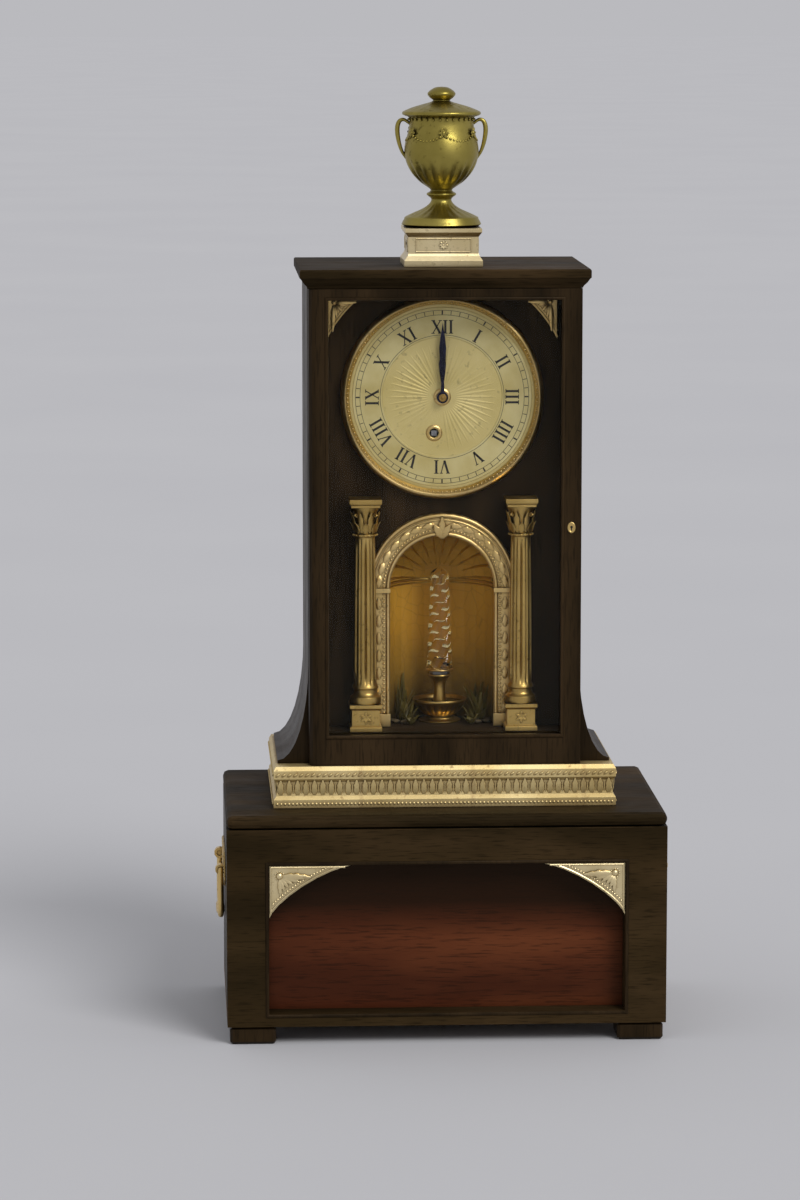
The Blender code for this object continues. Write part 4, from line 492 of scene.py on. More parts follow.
def swept(path, section, side=FRONT, sizes=1.0):
    """A section of (x, y) points carried along a path. Its x runs along the side direction, as near as it
    can be square to the path, and its y square to both. Sizes scale the section along the way."""
    path = np.asarray(path, float)
    along = unit(np.gradient(path, axis=0))
    y = unit(np.cross(along, side))
    x = unit(np.cross(y, along))
    section = section * np.reshape(sizes, (-1, 1, 1))
    return path[:, None] + section[..., :1] * x[:, None] + section[..., 1:] * y[:, None]


def round_section(radius, count, flat=1.0):
    """An ellipse, whose y reaches as far as the radius and whose x is flatter by a share."""
    turn = even(count)
    return np.stack((radius * np.cos(turn) * flat, radius * np.sin(turn)), -1)


def ball(radius, rows=6, columns=8, squash=1.0):
    """A sphere whose height is squashed, with its poles closed by small caps."""
    fall = np.linspace(0.06, pi - 0.06, rows)
    return lathe(radius * np.stack((np.sin(fall), squash * np.cos(fall)), -1), columns)


def leaf(length, width, rise, curl, lobes, rows, columns, thick=0.16):
    """A carved leaf. Its half-width swells and narrows as a sine of the way along, nicked between the lobes.
    It bows outwards by the rise, its tip curls by the cube of the way, and a groove runs down its middle."""
    u = np.linspace(0.0, 1.0, rows)[:, None]
    turn = even(columns)[None, :]
    swell = np.sin(pi * (0.06 + 0.9 * u**0.8)) ** 0.75
    nick = 1 - 0.26 * np.abs(np.sin(lobes * pi * u)) ** 3 * (u < 0.95)
    x = width / 2 * swell * nick * np.cos(turn)
    body = np.sin(turn) * np.where(np.sin(turn) > 0, 1.0, 0.25)
    groove = 0.55 * np.exp(-((np.cos(turn) / 0.25) ** 2)) * (np.sin(turn) > 0)
    z = width * thick * swell * (body - groove * 0.8) + rise * np.sin(pi * u * 0.75) + curl * u**3
    y = length * u - curl * 0.35 * u**3
    return np.stack(np.broadcast_arrays(x, y, z), -1)


def scroll(turns, size, thin, rows):
    """A volute that lies flat: the path winds in as its radius falls to an eighth, and its body thins with
    it. It starts at the origin, heading along +y, and winds towards +x."""
    t = np.linspace(0, 1, rows)
    shrink = np.exp(-2.1 * t)
    turn = pi - tau * turns * t
    lift = thin * 0.6 + thin * 0.7 * np.sin(pi * t) ** 0.5
    path = np.stack((size + size * shrink * np.cos(turn), size * shrink * np.sin(turn), lift), -1)
    sizes = 0.35 + 0.85 * np.sin(pi * (0.15 + 0.85 * t)) ** 0.6
    return swept(path, round_section(thin, 8, 0.8), UP, sizes)


def block(low, high):
    """A box from its two corners, as a form of two square rows."""
    (x0, y0, z0), (x1, y1, z1) = low, high
    return np.array([[(x0, y0, z), (x1, y0, z), (x1, y1, z), (x0, y1, z)] for z in (z0, z1)], float)


def moulded(axis, half, steps):
    """A square block about an upright axis whose faces follow a moulding: each step is (inset, height)."""
    corners = np.array([(x, y, 0) for x, y in CORNERS])
    return np.array([axis + corners * (half - inset) + UP * z for inset, z in steps])


def along_line(start, end, count):
    """Places spaced evenly on a line, half a step in from its ends."""
    share = even(count, 0.5, 1.0)[:, None]
    return np.asarray(start, float) * (1 - share) + np.asarray(end, float) * share


def beads_along(path, pitch, radius, out=FRONT):
    """Half-sunk beads at an even pitch along a path on a face that looks out."""
    run = np.concatenate(([0], np.cumsum(np.linalg.norm(np.diff(path, axis=0), axis=1))))
    places = np.linspace(pitch / 2, run[-1] - pitch / 2, max(2, round(run[-1] / pitch)))
    at = np.stack([np.interp(places, run, np.asarray(path)[:, k]) for k in range(3)], -1)
    side = unit(np.cross(out, (0.3, 0.5, 0.8)))
    return laid(ball(radius, 4, 6), at, np.cross(out, side), out)


def frame_bead(x0, x1, z0, z1, y, out, reach, shift, proud):
    """A rounded bead round an upright rectangle on a face that looks out, mitred at its corners. Its section
    is a circle of a reach, shifted outwards, and squashed to stand proud of the face."""
    turn = even(12)[:, None]
    level, lift = shift + reach * np.cos(turn), proud * np.sin(turn)
    rows = []
    for a, b in CORNERS:
        corner = np.array((x1 if a > 0 else x0, y, z1 if b > 0 else z0))
        rows.append(corner + np.array((a, 0, b)) * level + out * lift)
    return ring(np.array(rows))


def slotted_screw(at, out, radius, tall, turn=0.5):
    """A screw's head: two half discs with a slot between them on a thinner disc."""
    side = unit(np.cross(out, (0.31, 0.17, 0.94)))
    along = rays(turn, side, np.cross(out, side))
    across = np.cross(out, along)
    swing = asin(0.14)
    loop = np.linspace(swing, pi - swing, 14)[:, None]
    halves = []
    for hand in (-1, 1):
        rows = []
        for share, height in ((1.0, 0.0), (1.0, tall * 0.7), (0.90, tall * 0.92), (0.78, tall)):
            reach = np.maximum(radius * share * np.sin(loop), radius * 0.13) * hand
            rows.append(at + radius * share * np.cos(loop) * along + reach * across + out * height)
        halves.append(np.array(rows))
    disc = [(0.1, tall * 0.45), (radius * 0.96, tall * 0.45), (radius * 0.96, 0), (0.1, 0)]
    return [*halves, lathe(disc, 20, at, out, along)]


def stand_camera():
    """The photograph's view: from 3.3 m away, a little above the object and a little to its left."""
    azimuth, elevation, distance = radians(-3), radians(8), 3.3
    target = Vector((-0.031, -0.02, 0.321))
    camera = bpy.data.objects.new("camera", bpy.data.cameras.new("camera"))
    level = cos(elevation) * Vector((sin(azimuth), -cos(azimuth), 0))
    camera.location = target + distance * (level + Vector((0, 0, sin(elevation))))
    camera.rotation_euler = (target - camera.location).to_track_quat("-Z", "Y").to_euler()
    camera.data.lens = 132
    bpy.context.scene.collection.objects.link(camera)
    bpy.context.scene.camera = camera


def light_studio():
    """A wide pale floor, an even pale surround and one soft sun from the front right, at a plain level."""
    scene = bpy.context.scene
    scene.view_settings.view_transform = "Standard"
    sun = bpy.data.objects.new("sun", bpy.data.lights.new("sun", "SUN"))
    sun.data.energy = 1.75
    sun.data.angle = radians(28)
    sun.rotation_euler = Vector((-0.42, 0.66, -0.66)).to_track_quat("-Z", "Y").to_euler()
    scene.collection.objects.link(sun)
    world = bpy.data.worlds.new("surround")
    world.use_nodes = True
    air = Nodes(world.node_tree)
    kinds = ("Camera", "Glossy", "Transmission")
    straight, *bounced = (air.node("LightPath", out=f"Is {kind} Ray") for kind in kinds)
    for ray in bounced:
        straight = straight.maths("MAXIMUM", ray)
    tone = air.mix(straight, (0.60, 0.61, 0.63), linear(186, 186, 190))
    air.feed(air.tree.nodes["Background"].inputs["Color"], tone)
    scene.world = world
    floor_look = Finish("paper_floor", Roughness=1.0, Specular_IOR_Level=0.0)
    cloud = floor_look.noise(1.6, 3)
    floor_look.set(Base_Color=floor_look.mix(cloud, linear(187, 186, 189), linear(193, 192, 194)))
    reach = 60.0
    mesh = bpy.data.meshes.new("floor")
    mesh.from_pydata([(x * reach, y * reach, 0) for x, y in CORNERS], [], [(0, 1, 2, 3)])
    floor = bpy.data.objects.new("floor", mesh)
    floor.location.z = -0.1 * MM
    mesh.materials.append(floor_look.look)
    scene.collection.objects.link(floor)


def dress_urn():
    """The urn: a turned body with gadroons and a fluted lid, two loop handles, a bead row and a garland."""
    low, high = box("urn")
    foot = np.array((0.0, (low.y + high.y) / 2, low.z))
    height, radius = high.z - low.z, 29
    profile_shares = (
        (0.001, 1.0), (0.16, 0.995), (0.30, 0.972), (0.36, 0.948), (0.30, 0.922), (0.22, 0.905),
        (0.26, 0.893), (0.44, 0.878), (0.74, 0.853), (0.95, 0.828), (1.0, 0.818), (1.0, 0.803),
        (0.94, 0.794), (0.84, 0.782), (0.82, 0.745), (0.84, 0.700), (0.87, 0.660), (0.92, 0.610),
        (0.95, 0.550), (0.94, 0.500), (0.88, 0.440), (0.76, 0.380), (0.58, 0.325), (0.40, 0.290),
        (0.28, 0.265), (0.30, 0.250), (0.37, 0.238), (0.37, 0.225), (0.28, 0.205), (0.26, 0.185),
        (0.34, 0.155), (0.50, 0.125), (0.74, 0.095), (0.92, 0.070), (0.95, 0.055), (0.95, 0.002),
        (0.001, 0.002),
    )
    handle_shares = (
        (0.80, 0.735), (0.96, 0.765), (1.08, 0.752), (1.13, 0.700), (1.10, 0.620), (1.02, 0.545),
        (0.90, 0.490),
    )

    def ribs(turn, z):
        """Round ribs on the bowl, below its widest part, and shallow flutes on the lid and the foot."""
        share = z / height
        bowl = np.interp(share, (0.29, 0.34, 0.40, 0.50), HUMP)
        lid = np.interp(share, (0.835, 0.845, 0.88, 0.895), HUMP)
        base = np.interp(share, (0.075, 0.085, 0.15, 0.17), HUMP)
        gadroons = 0.075 * bowl * (1 - np.abs(np.sin(turn * 8)))
        return 1 - gadroons - 0.05 * (lid + base) * (1 - np.abs(np.sin(turn * 10)))

    forms = [lathe(smoothed(np.array(profile_shares) * (radius, height), 3), 96, foot, radius=ribs)]
    for side in (-1, 1):
        path = smoothed([foot + RIGHT * side * radius * a + UP * height * b for a, b in handle_shares], 6)
        swell = 0.75 + 0.45 * np.sin(np.linspace(0, pi, len(path))) ** 2
        forms.append(swept(path, round_section(1.5, 10), BACK, swell))
    urn = piece("urn_body", forms, GILT_URN)
    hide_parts("urn")

    def on_urn(turns, radius_share, height_share):
        """Places and outward directions at shares of the urn's radius and height."""
        out = rays(turns, RIGHT, BACK)
        return foot + out * radius * radius_share + UP * height * np.reshape(height_share, (-1, 1)), out

    at, out = on_urn(even(30), 0.84, 0.768)
    forms = [laid(ball(1.0, 5, 7), at, UP, out)]
    swag = even(64)
    at, out = on_urn(swag, 0.895, 0.665 - 0.05 * np.abs(np.cos(swag * 3)) ** 0.8)
    forms.append(laid(ball(1.15, 5, 6), at, UP, out))
    at, out = on_urn(even(6, 0.5), 0.885, 0.676)
    forms.append(laid(ball(1.5, 6, 9), at, UP, out))
    forms += fan(at, out, even(6), leaf(4.2, 3.0, 0.4, 0.4, 1, 8, 8))
    piece("urn_garland", forms, GILT_URN)


def dress_urn_pedestal():
    """A moulded frame and a rosette on each face of the urn's pedestal."""
    low, high = box("urn_pedestal")
    half = (high.x - low.x) / 2 - 3
    wide, tall = half * 0.78, (high.z - low.z) * 0.17
    middle = np.array((0.0, (low.y + high.y) / 2, low.z + (high.z - low.z) * 0.56))
    forms = []
    for out in (FRONT, BACK, RIGHT, -RIGHT):
        centre, level = middle + out * half, np.cross(UP, out)
        corners = [centre + level * a * wide + UP * b * tall for a, b in CORNERS]
        for start, end in zip(corners, corners[1:] + corners[:1]):
            forms.append(swept((start, end), round_section(0.55, 6), out))
        forms += fan(centre, out, even(8), leaf(3.6, 2.2, 0.5, 0.2, 1, 7, 8))
        forms.append(laid(ball(0.9), centre, UP, out))
    piece("urn_pedestal_panels", forms, GILT_PALE)


# Each numeral letter's width and its strokes, in shares of its height: from (x, y) to (x, y), and a weight
HEAVY, THIN, SERIF = 0.17, 0.07, 0.06
LETTERS = {
    "I": (0.34, ((0.17, 0, 0.17, 1, HEAVY), (0, 0, 0.34, 0, SERIF), (0, 1, 0.34, 1, SERIF))),
    "V": (
        0.80,
        (
            (0.14, 1, 0.44, 0, HEAVY), (0.44, 0, 0.70, 1, THIN), (0, 1, 0.30, 1, SERIF),
            (0.56, 1, 0.80, 1, SERIF),
        ),
    ),
    "X": (
        0.82,
        (
            (0.14, 1, 0.68, 0, HEAVY), (0.12, 0, 0.70, 1, THIN), (0, 1, 0.28, 1, SERIF),
            (0.56, 1, 0.82, 1, SERIF), (0, 0, 0.26, 0, SERIF), (0.54, 0, 0.82, 0, SERIF),
        ),
    ),
}


def bar(start, end, width, low, high):
    """A flat stroke between two (x, y) points, as a thin box that stands from low to high in z."""
    start, end = np.array(start), np.array(end)
    along = unit(end - start)
    side = np.array((-along[1], along[0])) * width / 2
    loop = [start + side, end + side, end - side, start - side]
    return np.array([[(*p, z) for p in loop] for z in (low, high)])


def dress_dial():
    """Chapter ring, black Roman numerals, a minute track, a sunburst, and collets round the holes."""
    ring_in, ring_out, thick = 44.5, 67, 0.35
    seat = DIAL_CENTRE + FRONT * 0.02
    section = [(ring_in, 0), (ring_in + thick, thick), (ring_out - thick, thick), (ring_out, 0)]
    piece("dial_chapter_ring", [ring(lathe(section, 128, seat, FRONT))], SILVERED)

    inner, tall, gap = 47.5, 9.5, 0.10
    low, high = thick, thick + 0.12
    strokes = []
    for hour, numeral in enumerate("XII I II III IIII V VI VII VIII IX X XI".split()):
        out = rays(pi / 2 - tau * hour / 12)
        x = -(sum(LETTERS[letter][0] for letter in numeral) + gap * (len(numeral) - 1)) / 2
        for letter in numeral:
            width, lines = LETTERS[letter]
            for x0, y0, x1, y1, weight in lines:
                start, end = ((x + x0) * tall, inner + y0 * tall), ((x + x1) * tall, inner + y1 * tall)
                strokes.append(laid(bar(start, end, weight * tall, low, high), seat, out))
            x += width + gap
    piece("dial_numerals", strokes, ENAMEL)

    track_in, track_out, numeral_line, half_line = 61.2, 64.6, 46.2, 0.14
    ticks = []
    for minute, out in enumerate(rays(even(60))):
        wide = 0.45 if minute % 5 else 1.0
        ticks.append(laid(bar((0, track_in + 0.3), (0, track_out - 0.3), wide, low, high), seat, out))
    for middle in (track_in, track_out, numeral_line):
        near, far = middle - half_line, middle + half_line
        ticks.append(ring(lathe([(near, low), (near, high), (far, high), (far, low)], 128, seat, FRONT)))
    piece("dial_minute_track", ticks, ENAMEL)

    arbor_low, arbor_high = box("winding_arbor")
    key_hole = np.array((-6, DIAL_CENTRE[1], (arbor_low.z + arbor_high.z) / 2))
    out, sun_in, long, key_room = rays(even(48)), 11, 29, 9
    starts = seat + out * sun_in
    nearest = starts + out * np.clip(np.sum((key_hole - starts) * out, 1, keepdims=True), 0, long)
    clear = np.linalg.norm(nearest - key_hole, axis=1) > key_room
    sunburst = laid(leaf(long, 2.5, 0.0, 0.0, 1, 7, 8, 0.10), starts[clear], out[clear])
    piece("dial_sunburst", [sunburst], DIAL)
    collets = []
    for centre, hole, rim in ((seat, 3.5, 6.5), (key_hole + FRONT * 0.02, 3.7, 6.2)):
        section = ((hole, 0), (hole, 0.7), (hole + 0.6, 1.0), (rim - 1, 0.8), (rim, 0))
        collets.append(ring(lathe(section, 48, centre, FRONT)))
    piece("dial_collets", collets, GILT)


def dress_bezel():
    """A turned bezel: a rounded outer edge, a raised lip, and a hollow inside it with a row of beads."""
    low, high = box("dial_bezel")
    radius, depth = (high.x - low.x) / 2, high.y - low.y
    # Each step is (mm in from the edge, share of the depth)
    steps = (
        (0, 0), (0, 0.45), (0.5, 0.62), (1.2, 0.84), (2.4, 0.97), (3.6, 1), (4.4, 0.93), (5.2, 0.80),
        (6.1, 0.70), (6.9, 0.52), (7.0, 0.40), (3.7, 0.38), (3.7, 0),
    )
    profile = [(radius - inset, depth * share) for inset, share in steps]
    centre = np.array((0.0, high.y, DIAL_CENTRE[2]))
    bezel = piece("bezel_ring", [ring(lathe(profile, 144, centre, FRONT))], GILT)
    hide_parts("dial_bezel")
    out = rays(even(132))
    at = centre + out * (radius - 5.3) + FRONT * depth * 0.80
    piece("bezel_beads", [laid(ball(0.85, 5, 7), at, out)], GILT)


def dress_columns():
    """Fluted shafts with ringed feet, capitals of two leaf rows and volutes, and panelled blocks."""
    thick, thin = 8.5, 7.3
    for name in ("column_left", "column_right"):
        low, high = box(name)
        axis = np.array(((low.x + high.x) / 2, (low.y + high.y) / 2, 0.0))
        half = (high.x - low.x) / 2
        block_top, abacus = low.z + 20, high.z - 6
        foot, neck = block_top + 12, abacus - 22

        def turned(place, *steps):
            """Steps of a profile: shares of the half width, at heights in mm from a place."""
            return [(half * share, place + rise) for share, rise in steps]

        shaft_z = np.linspace(neck - 1.5, foot + 3.4, 26)
        narrowing = ((shaft_z - shaft_z[-1]) / (shaft_z[0] - shaft_z[-1])) ** 1.6
        profile = [
            (0.5, abacus + 1),
            *turned(abacus, (0.93, 1), (0.90, -1), (0.70, -5)),
            *turned(neck, (0.60, 9), (0.60, 2.4), (0.74, 1.6), (0.74, 0.2)),
            (thin, neck - 0.6),
            *zip(thick - (thick - thin) * narrowing, shaft_z),
            *turned(foot, (0.80, 1.6), (0.82, 0), (0.74, -1), (0.73, -3.5), (0.80, -5), (0.95, -6.5)),
            *turned(foot, (0.99, -9), (0.95, -11.6)),
            (0.5, block_top - 0.5),
        ]

        def flutes(turn, z):
            """Twelve hollows round the shaft that fade out at its two ends."""
            run = np.interp(z, (foot + 6, foot + 8, neck - 6, neck - 4), HUMP)
            return 1 - 0.13 * run * np.clip(1 - 1.6 * np.abs(np.sin(turn * 6)), 0, 1) ** 0.6

        block_steps = (
            (0, low.z), (0, low.z + 3), (0.7, low.z + 3.8), (1.6, low.z + 4.4), (1.6, block_top - 4),
            (0.8, block_top - 3.2), (0, block_top - 2.4), (0, block_top),
        )
        abacus_steps = (
            (1.2, abacus), (1.2, abacus + 1.6), (0.5, abacus + 2.4), (0, abacus + 3.2), (0, high.z),
        )
        blocks = [moulded(axis, half, steps) for steps in (block_steps, abacus_steps)]
        shaft = lathe(profile, 96, axis, radius=flutes)
        column = piece(f"{name}_turned", [shaft, *blocks], GILT_SHADED, sharp=34)
        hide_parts(name)

        leaves = []
        for row, (long, wide, rise) in enumerate(((9.5, 5.6, 2.0), (16, 5.2, 3.0))):
            out = rays(even(8, row / 2), RIGHT, BACK)
            at = axis + out * half * (0.66 + 0.02 * row) + UP * (neck + rise)
            leaves.append(laid(leaf(long, wide, 0.9, 2.9, 3, 12, 9, 0.14), at, UP, out))
        out = rays(even(4, 0.5), RIGHT, BACK)
        volute = scroll(1.15, 2.2, 0.75, 22)
        for hand in (-1, 1):
            side = np.cross(UP, out) * hand
            at = axis + out * half * 0.98 + UP * (abacus - 6.5) - side * 0.9
            leaves.append(laid(volute * (hand, 1, 1), at, UP, side))
        out = rays(even(18), RIGHT, BACK)
        at = axis + out * half * 0.74 + UP * (neck + 0.9)
        leaves.append(laid(ball(0.8, 5, 6), at, UP, out))
        front = axis + FRONT * (half - 1.6) + UP * ((low.z + block_top) / 2 + 0.2)
        leaves += fan(front, FRONT, even(6, 0.5), leaf(4.6, 2.8, 0.4, 0.2, 1, 7, 8))
        piece(f"{name}_leaves", leaves, GILT_SHADED)


def arch_path(radius):
    """The arch's line at a radius: up one leg of its face, round the half circle and down the other."""
    crown = ARCH_SPRING + radius * rays(np.linspace(0, pi, 49))
    legs = np.linspace(arch_low.z + 1, ARCH_SPRING[2], 12, endpoint=False)
    right = np.stack((0 * legs + radius, 0 * legs + arch_low.y, legs), -1)
    return np.concatenate((right, crown, right[::-1] * (-1, 1, 1)))


def dress_arch():
    """Rounded fillets and a bead row along the arch, leaves on its face and crown, and four imposts."""
    front, spring_z = arch_low.y, ARCH_SPRING[2]
    fillets = [
        swept(arch_path(ARCH_INNER + 1.6), round_section(1.5, 10)),
        swept(arch_path(ARCH_RADIUS - 1.8), round_section(1.7, 10)),
        swept(arch_path(ARCH_RADIUS - 5.0), round_section(0.7, 8)),
    ]
    piece("arch_fillets", fillets, GILT)

    bead, bead_line, leaf_line = ball(1.05, 5, 7), ARCH_INNER + 4.6, ARCH_RADIUS - 8.6
    out = rays(even(52, 0.5, pi))
    beads = [laid(bead, ARCH_SPRING + out * bead_line, out)]
    face_leaf, half_leaf = leaf(9.4, 5.0, 0.7, 0.5, 3, 11, 9), 4.6
    turns = even(15, 0.5, pi)
    leaves = []
    for hand, chosen in ((1, turns > pi / 2 + 0.05), (-1, turns < pi / 2 - 0.05)):
        out = rays(turns[chosen])
        along = np.cross(FRONT, out) * hand
        at = ARCH_SPRING + out * leaf_line - along * half_leaf
        leaves.append(laid(face_leaf * (hand, 1, 1), at, along))
        leg = [(hand * bead_line, front, z) for z in (arch_low.z, spring_z)]
        beads.append(laid(bead, along_line(*leg, 34), UP))
        heights = np.linspace(arch_low.z + 14, spring_z - 12, 7) - half_leaf
        leaves.append(laid(face_leaf, [(hand * leaf_line, front, z) for z in heights], UP))
    key = ARCH_SPRING + UP * (ARCH_INNER - 2)
    for lean, long in ((0.0, 17.0), (0.5, 12.5), (-0.5, 12.5)):
        leaves.append(laid(leaf(long, 6.5, 1.6, 1.6, 3, 14, 12), key, rays(lean, UP, RIGHT)))
    piece("arch_beads", beads, GILT)
    piece("arch_leaves", leaves, GILT)

    imposts, lap, proud = [], 0.3, 2.4
    for side in (-1, 1):
        x0, x1 = sorted((side * ARCH_INNER, side * ARCH_RADIUS))
        for z, tall in ((spring_z - 2, 3.2), (arch_low.z + 5, 9.4)):
            imposts.append(block((x0 - lap, front - proud, z - tall / 2), (x1 + lap, front, z + tall / 2)))
    piece("arch_imposts", imposts, GILT, sharp=30)


def corner_border(name, side, edge, wire, gap_x, gap_z):
    """The place an edge's width inside a spandrel's square corner, and the border's two straight lines from
    there, which stop a gap short of the spandrel's tips."""
    low, high = box(name)
    outer, inner = (low.x, high.x) if side < 0 else (high.x, low.x)
    corner = np.array((outer - side * edge, low.y, high.z - edge))
    ends = ((inner + side * gap_x, low.y, corner[2]), (corner[0], low.y, low.z + gap_z))
    return corner, [swept((corner, end), round_section(wire, 6)) for end in ends]


def corner_leaves(root, side, turns, lengths, narrow, wide):
    """Leaves that spread from a root at the given turns from level, mirrored on the left. A leaf is a
    quarter as wide as it is long, within two limits, and starts a little way out from the root."""
    gap, shapes = 2, []
    for long in lengths:
        width = min(max(long * 0.25, narrow), wide)
        shapes.append(leaf(long - gap, width, 0.5, 0.6, 4, 16, 10, 0.26))
    return fan(root, FRONT, turns if side > 0 else pi - turns, shapes, gap)


def dress_case_spandrels():
    """Gilt corners by the dial: a plain border, beads along the hollow edge and leaves from the corner."""
    forms = []
    turns = np.radians((180, 195, 226, 258, 272))
    lengths = np.array((17, 9.5, 9.5, 11.5, 22))
    for hand, side in SIDES:
        name = f"case_spandrel_{hand}"
        low, high = box(name)
        near, far = sorted((abs(low.x), abs(high.x)))
        centre = np.array((0.0, low.y, DIAL_CENTRE[2]))
        hollow = hypot(near, high.z - centre[2])
        start = atan2(high.z - centre[2], near) - 0.012
        end = atan2(low.z - centre[2], far) + 0.012
        ray = rays(np.linspace(start, end, 24), RIGHT * side)
        corner, border = corner_border(name, side, 0.8, 0.7, 2, 2)
        root = corner - np.array((side, 0, 1)) * 4.2
        forms += border
        forms.append(swept(centre + ray * (hollow + 0.9), round_section(0.7, 6)))
        forms.append(beads_along(centre + ray[2:-2] * (hollow + 2.9), 1.9, 0.75))
        forms += corner_leaves(root, side, turns, lengths, 2.8, 4.4)
        forms.append(laid(ball(1.7, 8, 12, 0.8), root, UP))
    piece("case_spandrel_leaves", forms, GILT)


def dress_base_spandrels():
    """Gilt corners in the base's recess: a border, a bead row by the hollow edge, and leaves that fan from
    a boss. On the hollow edge the shares of the width and of the height, each to a power, add up to 1."""
    forms = []
    power, clear = 1.35, 7.5
    turns = np.radians((182, 196, 212, 232, 252, 267))
    reach = np.linspace(0, 60, 400)[:, None]
    t = np.linspace(0.07, pi / 2 - 0.05, 40)
    edge_shares = np.stack((np.cos(t), np.sin(t)), -1) ** (2 / power)
    for hand, side in SIDES:
        name = f"base_spandrel_{hand}"
        low, high = box(name)
        inner = high.x if side < 0 else low.x
        size = np.array((high.x - low.x, high.z - low.z))
        slope = unit(edge_shares ** (power - 1) / size)

        def edge_curve(step_in):
            """The hollow edge, moved into the gilt by a step, as places on the face."""
            flat = edge_shares * size + slope * step_in
            x, z = flat[(flat < size - 1.2).all(1)].T
            return np.stack((inner + side * x, 0 * x + low.y, low.z + z), -1)

        corner, border = corner_border(name, side, 1, 0.8, 4, 3)
        root = corner - np.array((side, 0, 1)) * 6.5
        lengths = []
        for way in rays(turns)[:, ::2]:
            shares = np.clip((size - clear + way * reach) / size, 0, 2)
            crossing = reach[np.argmax((shares**power).sum(1) < 1.0), 0]
            lengths.append(max(crossing - 5.5, 7))
        forms += border
        forms.append(swept(edge_curve(1.1), round_section(0.8, 6)))
        forms.append(beads_along(edge_curve(3.6), 2.3, 0.95))
        forms += corner_leaves(root, side, turns, lengths, 3.6, 6.4)
        forms.append(laid(ball(2.6, 8, 14, 0.7), root, UP))
        out = rays(even(12))
        forms.append(laid(ball(0.6, 4, 6), root + out * 3.3, out))
    piece("base_spandrel_leaves", forms, GILT_PALE)


def dress_foot_moulding():
    """On the gilt foot moulding: beads on its lower fillet, leaves in its hollow and a twist on its top."""
    low, high = box("foot_moulding")
    tall = high.z - low.z
    corners = [np.array(((high if a > 0 else low).x, (high if b > 0 else low).y, low.z)) for a, b in CORNERS]
    broad, narrow = leaf(tall * 0.42, 5.4, 0.7, 1.2, 3, 10, 8), leaf(tall * 0.36, 1.5, 0.4, 0.2, 1, 6, 6)
    beads, leaves = [], []
    for start, end in zip(corners, corners[1:] + corners[:1]):
        along = unit(end - start)
        out = np.cross(along, UP)
        long = np.linalg.norm(end - start)

        def line(share, margin, inset=0.0):
            """The ends of a line at a share of the height, in from the corners and from the face."""
            place = UP * tall * share - out * inset
            return np.stack((start + along * margin, end - along * margin)) + place

        beads.append(beads_along(line(0.10, 1.2), 2.9, 1.15, out))
        at = along_line(*line(0.80, 1.0), round(long / 4.4))
        beads.append(laid(ball(1.0, 5, 7) * (1, 2.5, 1), at, unit(along * 0.8 + UP * 0.6), out))
        at = along_line(*line(0.26, 2.2, 2.5), round(long / 6.4))
        leaves.append(laid(broad, at, UP, out))
        leaves.append(laid(narrow, (at[1:] + at[:-1]) / 2, UP, out))
    piece("foot_moulding_beads", beads, GILT_WOOD)
    piece("foot_moulding_leaves", leaves, GILT_WOOD)


